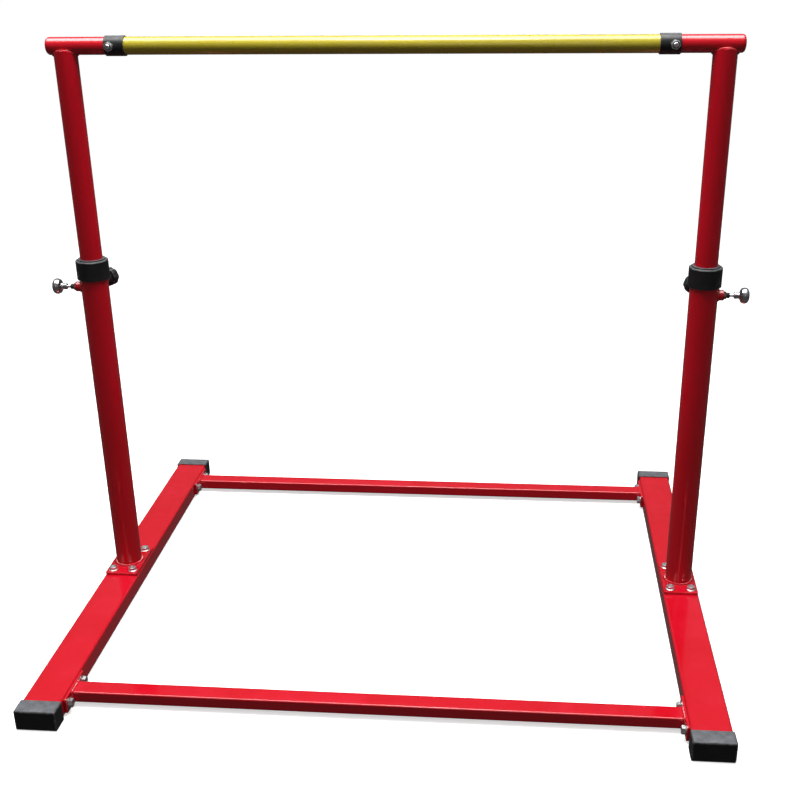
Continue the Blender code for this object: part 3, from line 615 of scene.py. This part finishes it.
def coped_ring(radius, tube_radius, steps):
    """A circle round Z, bent on to an upright tube whose axis crosses Z at the origin."""
    ring = []
    for angle in turns(steps):
        across = radius * math.cos(angle)
        depth = math.sqrt(tube_radius ** 2 - across ** 2)
        ring.append(Vector((across, radius * math.sin(angle), depth)))
    return ring


# ---------------------------------------------------------------- base frame

def make_rail(side_name):
    node = f"{side_name}_rail"
    size = extent(node)
    half = size.y / 2

    def outer(inset):
        return rectangle(size.x - 2 * inset, size.z - 2 * inset, RAIL_CORNER - inset)

    def inner(inset):
        return outer(RAIL_WALL + inset)

    shoulder = half - EDGE / 2
    layers = [(EDGE / 2, -half), (0.0, -shoulder), (0.0, SUPPORT - shoulder), (0.0, shoulder - SUPPORT),
              (0.0, shoulder), (EDGE / 2, half)]
    rings = stacked(outer, layers)
    rings += stacked(inner, [(0.0, half), (0.0, -half)])
    stand_in(node, mesh_of(node, (rings, True)), facing((0, 1, 0), middle(node)))


def make_cap(side_name, end_name):
    """A moulded cap: rounded outside, open towards the rail, with a thin lip round its mouth."""
    node = f"{side_name}_{end_name}_cap"
    size = extent(node)
    half = size.y / 2
    wall = (size.x - extent(f"{side_name}_rail").x) / 2 - GAP

    def outer(inset):
        return rectangle(size.x - 2 * inset, size.z - 2 * inset, max(CAP_CORNER - inset, 0.0006))

    def pocket(inset):
        return rectangle(size.x - 2 * (wall + inset), size.z - 2 * (wall + inset), RAIL_CORNER)

    rings = stacked(pocket, [(0.004, half - CAP_END_WALL), (0.0, half - CAP_END_WALL)])
    rings += stacked(pocket, [(0.0, half - CAP_END_WALL - 0.0005), (0.0, -half + 0.0008), (-0.0004, -half)])
    rings += stacked(outer, [(0.0008, -half), (0.0002, -half + 0.0004), (0.0, -half + 0.001)])
    rings += stacked(outer, [(0.0, -half + 0.001 + SUPPORT), (0.0, half - CAP_CORNER - SUPPORT)])
    for step in range(FILLET_STEPS + 1):
        angle = math.pi / 2 * step / FILLET_STEPS
        inset = CAP_CORNER * (1 - math.cos(angle))
        rings += stacked(outer, [(inset, half - CAP_CORNER * (1 - math.sin(angle)))])
    rings += stacked(outer, [(CAP_CORNER + SUPPORT, half)])
    mesh = mesh_of(node, (rings, False))
    stand_in(node, mesh, facing((0, ENDS[end_name], 0), middle(node)))


def make_crossbar(end_name):
    """The flat tube with a flange plate at each end and a weld bead round each joint."""
    node = f"{end_name}_crossbar"
    size = extent(node)
    half = size.x / 2
    reach = half - FLANGE_THICKNESS

    def tube(inset):
        return rectangle(CROSSBAR_DEPTH - 2 * inset, CROSSBAR_HEIGHT - 2 * inset, CROSSBAR_CORNER)

    def flange(inset):
        return rectangle(size.y - 2 * inset, size.z - 2 * inset, max(FLANGE_CORNER - inset, 0.0004))

    tube_end = reach + 0.001
    layers = [(0.0, -tube_end), (0.0, SUPPORT - tube_end), (0.0, tube_end - SUPPORT), (0.0, tube_end)]
    surfaces = [(stacked(tube, layers), False)]
    for side in SIDES.values():
        near = side * reach
        far = side * half
        layers = [(EDGE + SUPPORT, near), (EDGE, near), (EDGE * 0.3, near + side * EDGE * 0.3),
                  (0.0, near + side * EDGE), (0.0, far - side * EDGE), (EDGE * 0.3, far - side * EDGE * 0.3),
                  (EDGE, far), (EDGE + SUPPORT, far)]
        surfaces.append((stacked(flange, layers), False))
        corner = [Vector((x, y, near)) for x, y in tube(0.0)]
        surfaces.append((bead(corner, BEAD_SPACING, CROSSBAR_BEAD, seed=side * 3.0), True))
    stand_in(node, mesh_of(node, *surfaces), facing((1, 0, 0), middle(node)))


def make_base_plate(side_name):
    node = f"{side_name}_base_plate"
    size = extent(node)
    half = size.z / 2

    def plate(inset):
        return rectangle(size.x - 2 * inset, size.y - 2 * inset, PLATE_CORNER - inset)

    layers = [(EDGE, -half), (EDGE * 0.3, -half + EDGE * 0.3), (0.0, -half + EDGE), (0.0, half - EDGE),
              (EDGE * 0.3, half - EDGE * 0.3), (EDGE, half), (EDGE + SUPPORT, half)]
    stand_in(node, mesh_of(node, (stacked(plate, layers), False)), Matrix.Translation(middle(node)))


# ---------------------------------------------------------------- fasteners

def hexagon_reach(angle, radius):
    """How far a hexagon of that corner radius reaches at an angle."""
    within = angle % (math.pi / 3) - math.pi / 6
    return radius * math.cos(math.pi / 6) / math.cos(within)


def hexagon_ring(radius, height, steps):
    ring = []
    for angle in turns(steps):
        reach = hexagon_reach(angle, radius)
        ring.append(Vector((reach * math.cos(angle), reach * math.sin(angle), height)))
    return ring


def hexagon_rings(radius, low, high, steps):
    """Rings of a hexagon's sides up to the chamfer that is turned on its corners."""
    inner = radius * math.cos(math.pi / 6) * HEX_FACE
    shoulder = []
    for angle in turns(steps):
        reach = hexagon_reach(angle, radius)
        height = high - (reach - inner) * math.tan(HEX_CHAMFER)
        shoulder.append(Vector((reach * math.cos(angle), reach * math.sin(angle), height)))
    return [hexagon_ring(radius, low, steps), shoulder, ring_at(inner, high, steps)]


def thread_rings(radius, start, end, pitch, steps):
    """Rings of a helical thread, from one height to another."""
    rows = max(int(abs(end - start) / pitch * THREAD_ROWS), 2)
    rings = []
    for row in range(rows + 1):
        height = start + (end - start) * row / rows
        ring = []
        for step, angle in enumerate(turns(steps)):
            phase = (height / pitch - step / steps) % 1.0
            reach = radius - THREAD_DEPTH * pitch * (0.5 - abs(phase - 0.5))
            ring.append(Vector((reach * math.cos(angle), reach * math.sin(angle), height)))
        rings.append(ring)
    return rings


def bolt_mesh(name, shank, thread):
    """A flanged hexagon bolt with a dished head; thread is the length of thread that shows at its end."""
    rings = [ring_at(BOLT_RADIUS * 0.8, -shank, BOLT_STEPS)]
    if thread:
        rings += thread_rings(BOLT_RADIUS, -shank + 0.0006, -shank + thread, BOLT_PITCH, BOLT_STEPS)
    else:
        rings.append(ring_at(BOLT_RADIUS, -shank + 0.001, BOLT_STEPS))
    rings.append(ring_at(BOLT_RADIUS, -0.0002, BOLT_STEPS))
    rings.append(ring_at(BOLT_RADIUS, 0.0, BOLT_STEPS))
    rings += [ring_at(FLANGE_RADIUS - inset, height, BOLT_STEPS) for inset, height in FLANGE_RIM]
    rings += hexagon_rings(HEX_RADIUS, HEX_START, HEAD_HEIGHT, BOLT_STEPS)
    rings += [ring_at(radius, HEAD_HEIGHT - depth, BOLT_STEPS) for radius, depth in HEAD_DISH]
    return mesh_of(name, (rings, False))


def nut_mesh(name):
    """A hexagon lock nut, whose round collar leaves a recess for a plastic ring."""
    bore = BOLT_RADIUS + 0.0002
    recess = NUT_COLLAR_RADIUS - NUT_COLLAR_WALL
    floor = NUT_HEIGHT - NUT_RECESS
    rings = [ring_at(bore, 0.0, BOLT_STEPS), ring_at(NUT_HEX_RADIUS * 0.84, 0.0, BOLT_STEPS)]
    rings.append(hexagon_ring(NUT_HEX_RADIUS, 0.0008, BOLT_STEPS))
    rings += hexagon_rings(NUT_HEX_RADIUS, 0.0009, NUT_HEX_HEIGHT, BOLT_STEPS)
    collar = [(NUT_COLLAR_RADIUS, NUT_HEX_HEIGHT), (NUT_COLLAR_RADIUS, NUT_HEIGHT - 0.0007),
              (NUT_COLLAR_RADIUS - 0.0004, NUT_HEIGHT), (recess, NUT_HEIGHT), (recess, floor), (bore, floor)]
    rings += [ring_at(radius, height, BOLT_STEPS) for radius, height in collar]
    return mesh_of(name, (rings, True))


def add_nut_ring(side_name, place):
    """The black plastic ring in a lock nut's recess."""
    name = f"{side_name}_bar_nut_ring"
    outer = NUT_COLLAR_RADIUS - NUT_COLLAR_WALL - 0.0001
    inner = BOLT_RADIUS + 0.0001
    low = NUT_HEIGHT - NUT_RECESS + 0.0001
    high = NUT_HEIGHT - 0.0008
    profile = [(outer, high), (outer, low), (inner, low), (inner, high)]
    mesh = mesh_of(name, (turned(profile, [0.0003, 0.0, 0.0, 0.0003], BOLT_STEPS, True), True))
    extra_piece(name, mesh, "bar_carriage", "black_plastic", place)


def spin(point):
    """A turn about Z for the bolt or nut at a point, which looks irregular and is the same in each run."""
    return Matrix.Rotation(math.radians(60.0 * (noise.noise(point * 37.0) + 1.0)), 4, "Z")


def make_base_bolts():
    mesh = bolt_mesh("base_bolt", BASE_BOLT_LENGTH, 0.0)
    for node in SLOTS:
        low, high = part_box(node)
        centre = (low + high) / 2
        if "plate_bolt" in node:
            place = Matrix.Translation((centre.x, centre.y, high.z - HEAD_HEIGHT))
        elif "flange_bolt" in node:
            inward = -1.0 if centre.x > 0 else 1.0
            top = high.x if inward > 0 else low.x
            place = facing((inward, 0, 0), (top - inward * HEAD_HEIGHT, centre.y, centre.z))
        else:
            continue
        stand_in(node, mesh, place @ spin(centre))


# ---------------------------------------------------------------- posts

def post_axis(side_name):
    centre = middle(f"{side_name}_lower_tube")
    return Vector((centre.x, centre.y, 0.0))


def clamp_place(side_name):
    """A matrix on the post's axis at the clamp's height, whose +Z runs out along the clamp's screw."""
    joint = JOINTS[f"{side_name}_clamp_turn"]
    return facing(joint["axis"], post_axis(side_name) + UP * joint["pos_m"][2])


def pin_place(side_name, height=None):
    """A matrix on the post's axis whose +Z points outwards, at the pull pin's height or another."""
    if height is None:
        height = middle(f"{side_name}_pin_barrel").z
    return facing((SIDES[side_name], 0, 0), post_axis(side_name) + UP * height)


def pin_span(side_name, node):
    """Where a piece on the pull pin's line starts and ends, measured outwards from the post's axis."""
    low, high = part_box(f"{side_name}_{node}")
    axis_x = abs(post_axis(side_name).x)
    return sorted((abs(low.x) - axis_x, abs(high.x) - axis_x))


def hole_cutter(radius, start, end, steps, place):
    """A rod that cuts a hole through one wall of a tube."""
    mesh = mesh_of("hole_cutter", (rod(radius, start, end, steps), False))
    mesh.transform(place)
    return mesh


def make_lower_tube(side_name):
    node = f"{side_name}_lower_tube"
    low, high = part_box(node)
    radius = extent(node).y / 2
    bore = radius - POST_WALL
    profile = [(radius, low.z), (radius, high.z), (bore, high.z), (bore, low.z)]
    piece = turned_piece(node, profile, [SAWN_EDGE] * 4, Matrix.Translation(post_axis(side_name)))
    start = bore - HOLE_MARGIN
    bored(piece, [hole_cutter(PIN_HOLE_RADIUS, start, CUTTER_END, HOLE_STEPS, pin_place(side_name)),
                  hole_cutter(STUD_RADIUS + GAP, start, CUTTER_END, HOLE_STEPS, clamp_place(side_name))])


def boss_mesh(name, radius, hole, tube_radius, end):
    """A round nut coped to an upright tube, along +Z, with a rounded outer face."""
    rings = [coped_ring(hole, tube_radius, SMALL_STEPS), coped_ring(radius, tube_radius, SMALL_STEPS)]
    face = [(radius, 0.0022), (radius, 0.0010), (radius - 0.0003, 0.0003), (radius - 0.0010, 0.0),
            (hole + 0.0004, 0.0), (hole, 0.0004)]
    rings += [ring_at(reach, end - depth, SMALL_STEPS) for reach, depth in face]
    return mesh_of(name, (rings, True))


def make_bosses(side_name):
    """The pull pin's and the clamp's bosses, with the weld beads round them and round the post's foot."""
    axis = post_axis(side_name)
    seat = extent(f"{side_name}_lower_tube").y / 2 + GAP
    pin_node = f"{side_name}_pin_boss"
    pin_radius = extent(pin_node).z / 2
    pin_end = pin_span(side_name, "pin_boss")[1]
    pin = pin_place(side_name)
    stand_in(pin_node, boss_mesh(pin_node, pin_radius, BARREL_RADIUS + GAP, seat, pin_end), pin)
    clamp_node = f"{side_name}_clamp_boss"
    clamp_radius = extent(clamp_node).z / 2
    clamp = clamp_place(side_name)
    stand_in(clamp_node, boss_mesh(clamp_node, clamp_radius, STUD_RADIUS + GAP, seat, CLAMP_BOSS_END), clamp)
    foot = circle(seat - GAP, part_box(f"{side_name}_base_plate")[1].z, Matrix.Translation(axis))
    welds = [bead(foot, BEAD_SPACING, FOOT_BEAD, seed=1.0),
             bead(saddle(pin_radius, seat, pin), FINE_SPACING, PIN_BEAD, seed=5.0),
             bead(saddle(clamp_radius, seat, clamp), FINE_SPACING, CLAMP_BEAD, seed=9.0)]
    name = f"{side_name}_post_welds"
    extra_piece(name, mesh_of(name, *[(weld, True) for weld in welds]), "base_frame", "red_powder_coat")


def make_collar(side_name):
    node = f"{side_name}_collar"
    low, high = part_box(node)
    radius = extent(node).y / 2
    tube = extent(f"{side_name}_lower_tube").y / 2
    bore = extent(f"{side_name}_upper_tube").y / 2 + GAP
    shoulder = high.z - COLLAR_LIP_HEIGHT
    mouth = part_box(f"{side_name}_lower_tube")[1].z + GAP
    guide = tube - POST_WALL - GAP
    foot = low.z + 0.0005
    profile = [(COLLAR_LIP_RADIUS, high.z), (COLLAR_LIP_RADIUS, shoulder), (radius, shoulder),
               (radius, low.z), (tube + GAP, low.z), (tube + GAP, mouth), (guide, mouth), (guide, foot),
               (bore, foot), (bore, high.z)]
    radii = [0.0007, 0.0006, 0.0028, 0.0016, 0.0004, 0.0, 0.0, 0.0, 0.0, 0.0006]
    turned_piece(node, profile, radii, Matrix.Translation(post_axis(side_name)))


# ---------------------------------------------------------------- pull pins and clamps

def make_pin_barrel(side_name):
    """The threaded barrel, with its hexagon against the boss and a bore for the spring."""
    node = f"{side_name}_pin_barrel"
    start, end = pin_span(side_name, "pin_barrel")
    hex_start = pin_span(side_name, "pin_boss")[1] + GAP
    hex_end = hex_start + BARREL_HEX_LENGTH
    shank = [(BARREL_NECK, start), (BARREL_RADIUS - 0.0003, start), (BARREL_RADIUS, start + 0.0003),
             (BARREL_RADIUS, hex_start)]
    bore = [(BARREL_RADIUS - 0.0009, end), (STEM_BORE, end), (STEM_BORE, end - BARREL_FLOOR),
            (BARREL_BORE, end - BARREL_FLOOR), (BARREL_BORE, start + BARREL_FLOOR),
            (BARREL_NECK, start + BARREL_FLOOR)]
    rings = [ring_at(radius, height, PIN_STEPS) for radius, height in shank]
    rings += hexagon_rings(BARREL_HEX_RADIUS, hex_start, hex_end, PIN_STEPS)
    rings += thread_rings(BARREL_RADIUS, hex_end, end - 0.0008, BARREL_PITCH, PIN_STEPS)
    rings += [ring_at(radius, height, PIN_STEPS) for radius, height in bore]
    stand_in(node, mesh_of(node, (rings, True)), pin_place(side_name))


def make_pin_plunger(side_name):
    """The plunger: a thick nose, a shoulder that the spring pushes on and a thin stem out to the knob."""
    node = f"{side_name}_pin_plunger"
    start, end = pin_span(side_name, "pin_plunger")
    profile = [(AXIS_HOLE, start), (NOSE_RADIUS, start), (NOSE_RADIUS, SHOULDER_START),
               (SHOULDER_RADIUS, SHOULDER_START), (SHOULDER_RADIUS, SHOULDER_END),
               (STEM_RADIUS, SHOULDER_END), (STEM_RADIUS, end), (AXIS_HOLE, end)]
    radii = [0.0, 0.0012, 0.0, 0.0002, 0.0002, 0.0, 0.0004, 0.0]
    turned_piece(node, profile, radii, pin_place(side_name), PIN_STEPS, hollow=False)


def make_pin_knob(side_name):
    """The turned knob: a short neck, a waist and a rounded mushroom head, hollow for the stem."""
    node = f"{side_name}_pin_knob"
    start, end = pin_span(side_name, "pin_knob")
    radius = extent(node).z / 2
    head = start + KNOB_NECK
    profile = [(STEM_BORE, start), (0.0070, start), (0.0066, head - 0.003), (0.0080, head),
               (0.0148, head + 0.0022), (radius, head + 0.0080), (radius, head + 0.0118),
               (0.0150, end - 0.0038), (0.0094, end - 0.0009), (AXIS_HOLE, end), (AXIS_HOLE, SOCKET_END),
               (STEM_BORE, SOCKET_END)]
    radii = [0.0004, 0.0012, 0.006, 0.003, 0.004, 0.004, 0.004, 0.006, 0.010, 0.0, 0.0, 0.0]
    turned_piece(node, profile, radii, pin_place(side_name), SMALL_STEPS)


def finish_spring(side_name):
    """The spring keeps its CAD shape and takes the detailed finish."""
    spring = frame["nodes"][f"{side_name}_pin_spring"]
    spring.material_slots[0].material = FINISHES["dark_steel"]


def lobed(radius, height):
    """A ring that dips between the lobes of the fluted clamp knob, less so towards its middle."""
    ring = []
    for angle in turns(FINE_STEPS):
        dip = LOBE_DEPTH * (0.5 - 0.5 * math.cos(LOBES * angle)) ** 2
        reach = radius - dip * min(radius / CLAMP_RADIUS, 1.0) ** 6
        ring.append(Vector((reach * math.cos(angle), reach * math.sin(angle), height)))
    return ring


def make_clamp_washer(side_name):
    node = f"{side_name}_clamp_washer"
    profile = [(WASHER_RADIUS, WASHER_START), (WASHER_RADIUS, WASHER_END), (STUD_RADIUS + GAP, WASHER_END),
               (STUD_RADIUS + GAP, WASHER_START)]
    turned_piece(node, profile, [SAWN_EDGE] * 4, clamp_place(side_name), SMALL_STEPS)


def make_clamp_knob(side_name):
    """The fluted knob with its stud: stud, neck, underside, rounded rim and dished top."""
    node = f"{side_name}_clamp_knob"
    stud = [(AXIS_HOLE, STUD_START), (STUD_RADIUS * 0.8, STUD_START), (STUD_RADIUS, STUD_START + 0.0007),
            (STUD_RADIUS, CLAMP_START)]
    neck = [(0.0098, CLAMP_START), (0.0105, CLAMP_START + 0.0006), (0.0105, CLAMP_RIM - 0.0008),
            (0.0115, CLAMP_RIM)]
    dish = [(0.0135, 0.0), (0.0128, 0.0004), (0.0122, 0.0010), (0.0040, 0.0012), (0.0005, 0.0012)]
    rings = [ring_at(radius, height, FINE_STEPS) for radius, height in stud + neck]
    rings.append(lobed(CLAMP_RADIUS - 0.0040, CLAMP_RIM))
    for step in range(FILLET_STEPS + 1):
        angle = math.pi / 2 * step / FILLET_STEPS
        inset = LOWER_ROUND * (1 - math.sin(angle))
        rings.append(lobed(CLAMP_RADIUS - inset, CLAMP_RIM + LOWER_ROUND * (1 - math.cos(angle))))
    for step in range(FILLET_STEPS + 1):
        angle = math.pi / 2 * step / FILLET_STEPS
        inset = UPPER_ROUND * (1 - math.cos(angle))
        rings.append(lobed(CLAMP_RADIUS - inset, CLAMP_END - UPPER_ROUND * (1 - math.sin(angle))))
    rings.append(lobed(CLAMP_RADIUS - 0.0045, CLAMP_END))
    rings += [ring_at(radius, CLAMP_END - depth, FINE_STEPS) for radius, depth in dish]
    stand_in(node, mesh_of(node, (rings, False)), clamp_place(side_name))


# ---------------------------------------------------------------- bar carriage

def crown_height(across):
    """How far the rounded top of a post lies below its peak, at a distance across."""
    return CROWN_RADIUS - math.sqrt(CROWN_RADIUS ** 2 - across ** 2)


def crown_cutter(peak):
    """The space above a post's rounded top, which is an arch from side to side."""
    arch = [Vector((CUTTER_END, 0.0, CUTTER_END)), Vector((-CUTTER_END, 0.0, CUTTER_END))]
    for step in range(ARCH_STEPS + 1):
        across = -ARCH_REACH + 2 * ARCH_REACH * step / ARCH_STEPS
        arch.append(Vector((across, 0.0, -crown_height(across))))
    rings = []
    for depth in (-CUTTER_END, CUTTER_END):
        rings.append([peak + point + Vector((0.0, depth, 0.0)) for point in arch])
    return mesh_of("crown_cutter", (rings, False))


def stub_cutter(radius, centre):
    """The space that a stub takes out of the head of its post."""
    mesh = mesh_of("stub_cutter", (rod(radius, -CUTTER_END, CUTTER_END, TUBE_STEPS), False))
    mesh.transform(facing((1, 0, 0), centre))
    return mesh


def make_upper_tube(side_name):
    """The sliding tube, its head rounded from side to side and coped to the stub, with its row of holes."""
    node = f"{side_name}_upper_tube"
    low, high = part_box(node)
    radius = extent(node).y / 2
    bore = radius - POST_WALL
    stub_height = middle(f"{side_name}_stub").z
    stub_radius = extent(f"{side_name}_stub").z / 2
    axis = post_axis(side_name)
    roof = stub_height - stub_radius - 0.002
    profile = [(AXIS_HOLE_WIDE, high.z), (radius, high.z), (radius, low.z), (bore, low.z), (bore, roof),
               (AXIS_HOLE_WIDE, roof)]
    radii = [0.0, 0.0006, 0.0004, 0.0004, 0.0, 0.0]
    piece = turned_piece(node, profile, radii, Matrix.Translation(axis), hollow=False)
    cutters = [crown_cutter(axis + UP * high.z), stub_cutter(stub_radius + 0.0002, axis + UP * stub_height)]
    pin_height = middle(f"{side_name}_pin_barrel").z
    for step in range(PIN_HOLES):
        place = pin_place(side_name, pin_height + (step - HOLES_BELOW) * PIN_HOLE_PITCH)
        cutters.append(hole_cutter(PIN_HOLE_RADIUS, bore - HOLE_MARGIN, ROW_HOLE_END, ROW_HOLE_STEPS, place))
    bored(piece, cutters)
    make_head_weld(side_name, axis, radius, high.z, stub_height, stub_radius)


def make_head_weld(side_name, axis, radius, peak, stub_height, stub_radius):
    """The bead between a post's head and its stub: under it at the sides, along it at front and back."""
    line = []
    for angle in turns(TUBE_STEPS * 2):
        x = radius * math.cos(angle)
        y = radius * math.sin(angle)
        crown = peak - crown_height(x)
        wall = stub_height
        if abs(y) < stub_radius:
            wall = stub_height - math.sqrt(stub_radius ** 2 - y ** 2)
        if wall >= crown:
            wall = crown
            y = math.copysign(math.sqrt(stub_radius ** 2 - (stub_height - crown) ** 2), y)
        line.append(axis + Vector((x, y, wall)))
    count = len(line)
    for _ in range(3):
        line = [(line[i - 1] + line[i] * 2 + line[(i + 1) % count]) / 4 for i in range(count)]
    name = f"{side_name}_head_weld"
    rings = bead(line, BEAD_SPACING, HEAD_BEAD, seed=13.0)
    extra_piece(name, mesh_of(name, (rings, True)), "bar_carriage", "red_powder_coat")


def bar_axis(side_name):
    """A matrix on the bar's axis at a post, whose +Z points inwards."""
    height = middle(f"{side_name}_stub").z
    return facing((-SIDES[side_name], 0, 0), post_axis(side_name) + UP * height)


def inward_span(side_name, node):
    """Where a piece on the bar's line starts and ends, measured inwards from the post's axis."""
    low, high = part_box(f"{side_name}_{node}")
    post = post_axis(side_name).x
    return sorted(-SIDES[side_name] * (x - post) for x in (low.x, high.x))


def make_stub(side_name):
    node = f"{side_name}_stub"
    start, end = inward_span(side_name, "stub")
    radius = extent(node).z / 2
    bore = radius - STUB_WALL
    profile = [(radius, start), (radius, end), (bore, end), (bore, start)]
    turned_piece(node, profile, [0.0004] * 4, bar_axis(side_name))


def make_stub_plug(side_name):
    """The rounded end plug, whose spigot goes into the stub."""
    node = f"{side_name}_stub_plug"
    tip, root = inward_span(side_name, "stub_plug")
    rim = inward_span(side_name, "stub")[0] - GAP
    radius = extent(f"{side_name}_stub").z / 2
    spigot = radius - STUB_WALL - GAP
    profile = [(0.0005, tip), (radius * 0.55, tip + 0.0003), (radius * 0.86, tip + 0.0020), (radius, rim),
               (spigot, rim), (spigot, root), (0.0005, root)]
    radii = [0.0, 0.008, 0.004, 0.0004, 0.0, 0.0005, 0.0]
    turned_piece(node, profile, radii, bar_axis(side_name), hollow=False)


def make_bar_sleeve(side_name):
    node = f"{side_name}_bar_sleeve"
    start, end = inward_span(side_name, "bar_sleeve")
    outer = extent(node).z / 2
    inner = extent(f"{side_name}_stub").z / 2 + GAP
    profile = [(outer, start), (outer, end), (inner, end), (inner, start)]
    radii = [0.0012, 0.0012, 0.0004, 0.0004]
    turned_piece(node, profile, radii, bar_axis(side_name))


def make_bar_fasteners(side_name):
    """The bolt through the sleeve, its head at the back, and its lock nut at the front."""
    bolt = f"{side_name}_bar_bolt"
    low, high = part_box(bolt)
    centre = (low + high) / 2
    seat = high.y - HEAD_HEIGHT
    mesh = bolt_mesh(bolt, seat - low.y, BAR_BOLT_THREAD)
    stand_in(bolt, mesh, facing((0, 1, 0), (centre.x, seat, centre.z)) @ spin(centre))

    nut = f"{side_name}_bar_nut"
    low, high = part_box(nut)
    centre = (low + high) / 2
    place = facing((0, -1, 0), (centre.x, low.y + NUT_HEIGHT, centre.z))
    stand_in(nut, nut_mesh(nut), place @ spin(centre))
    add_nut_ring(side_name, place)


def make_bar():
    """The bar: a tube whose turned-down ends go into the stubs."""
    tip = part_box("bar")[1].x
    radius = extent("bar").z / 2
    shoulder = post_axis("right").x - inward_span("right", "stub")[1] - GAP
    profile = [(SPIGOT_RADIUS, -tip), (SPIGOT_RADIUS, -shoulder), (radius, -shoulder), (radius, shoulder),
               (SPIGOT_RADIUS, shoulder), (SPIGOT_RADIUS, tip), (BAR_BORE, tip), (BAR_BORE, -tip)]
    radii = [0.0004, 0.0, 0.0006, 0.0006, 0.0, 0.0004, 0.0004, 0.0004]
    turned_piece("bar", profile, radii, facing((1, 0, 0), middle("bar")))


# ---------------------------------------------------------------- floor, light and camera

def staged(name, rings, material):
    """A piece of the studio, which lights nothing and shows in no reflection."""
    mesh = mesh_of(name, (rings, False))
    mesh.materials.append(material)
    piece = bpy.data.objects.new(name, mesh)
    bpy.context.scene.collection.objects.link(piece)
    piece.visible_diffuse = False
    piece.visible_glossy = False
    return piece


def make_stage():
    """A wide floor just below the feet, and a pale dome over it that shows behind the object."""
    floor = staged("floor", rod(FLOOR_RADIUS, -FLOOR_DEPTH, 0.0, FINE_STEPS), pale_floor("floor_look"))
    floor.location.z = -FLOOR_DROP
    rings = []
    for step in range(BACKDROP_RINGS):
        angle = math.pi / 2 * step / (BACKDROP_RINGS - 0.5)
        height = BACKDROP_RADIUS * math.sin(angle) - FLOOR_DEPTH / 2
        rings.append(ring_at(BACKDROP_RADIUS * math.cos(angle), height, SMALL_STEPS))
    dome = staged("backdrop", rings, pale_backdrop("backdrop_look"))
    dome.visible_shadow = False


def make_world():
    """An even overcast sky: bright above, dim near the horizon, dark below it."""
    world = bpy.data.worlds.new("studio")
    bpy.context.scene.world = world
    world.use_nodes = True
    tree = world.node_tree
    place = tree.nodes.new("ShaderNodeTexCoord")
    split = tree.nodes.new("ShaderNodeSeparateXYZ")
    ramp = tree.nodes.new("ShaderNodeValToRGB")
    tree.links.new(place.outputs["Generated"], split.inputs[0])
    tree.links.new(split.outputs["Z"], ramp.inputs["Fac"])
    stops = ramp.color_ramp.elements
    stops[0].position = 0.0
    stops[0].color = colour(0.05, 0.05, 0.05)
    stops[1].position = 1.0
    stops[1].color = colour(1.0, 1.0, 1.0)
    for position, level in SKY:
        stops.new(position).color = colour(level, level, level * 1.02)
    back = tree.nodes["Background"]
    tree.links.new(ramp.outputs["Color"], back.inputs["Color"])
    back.inputs["Strength"].default_value = 1.1


def add_light(name, place, target, width, height, power):
    data = bpy.data.lights.new(name, "AREA")
    data.shape = "RECTANGLE"
    data.size = width
    data.size_y = height
    data.energy = power
    light = bpy.data.objects.new(name, data)
    bpy.context.scene.collection.objects.link(light)
    light.location = place
    light.rotation_euler = (Vector(target) - Vector(place)).to_track_quat("-Z", "Y").to_euler()


def make_camera():
    """The camera stands in front, to the right of the middle, a little above the bar."""
    yaw, pitch, roll = CAMERA_YAW, CAMERA_PITCH, CAMERA_ROLL
    ahead = Vector((math.sin(yaw) * math.cos(pitch), math.cos(yaw) * math.cos(pitch), -math.sin(pitch)))
    level = Vector((math.cos(yaw), -math.sin(yaw), 0.0))
    over = level.cross(ahead)
    right = level * math.cos(roll) + over * math.sin(roll)
    top = over * math.cos(roll) - level * math.sin(roll)
    data = bpy.data.cameras.new("camera")
    data.sensor_width = 36.0
    data.lens = CAMERA_LENS
    data.shift_x, data.shift_y = CAMERA_SHIFT
    data.clip_end = 200.0
    camera = bpy.data.objects.new("camera", data)
    bpy.context.scene.collection.objects.link(camera)
    turn = Matrix((right, top, -ahead)).transposed().to_4x4()
    camera.matrix_world = Matrix.Translation(CAMERA_PLACE) @ turn
    bpy.context.scene.camera = camera


for side_name in SIDES:
    make_rail(side_name)
    for end_name in ENDS:
        make_cap(side_name, end_name)
    make_base_plate(side_name)
    make_lower_tube(side_name)
    make_bosses(side_name)
    make_collar(side_name)
    make_pin_barrel(side_name)
    make_pin_plunger(side_name)
    make_pin_knob(side_name)
    finish_spring(side_name)
    make_clamp_washer(side_name)
    make_clamp_knob(side_name)
    make_upper_tube(side_name)
    make_stub(side_name)
    make_stub_plug(side_name)
    make_bar_sleeve(side_name)
    make_bar_fasteners(side_name)
for end_name in ENDS:
    make_crossbar(end_name)
make_base_bolts()
make_bar()

make_stage()
make_world()
make_camera()
add_light("overhead", (-0.2, 0.05, 3.2), (-0.2, 0.05, 0.0), width=3.4, height=1.5, power=118.0)
add_light("centre", (0.0, -0.35, 2.4), (0.0, -0.1, 0.0), width=0.6, height=0.3, power=8.0)
add_light("front", (0.2, -4.2, 2.2), (0.0, 0.0, 0.7), width=0.9, height=1.6, power=5.0)
bpy.context.scene.view_settings.view_transform = "Standard"
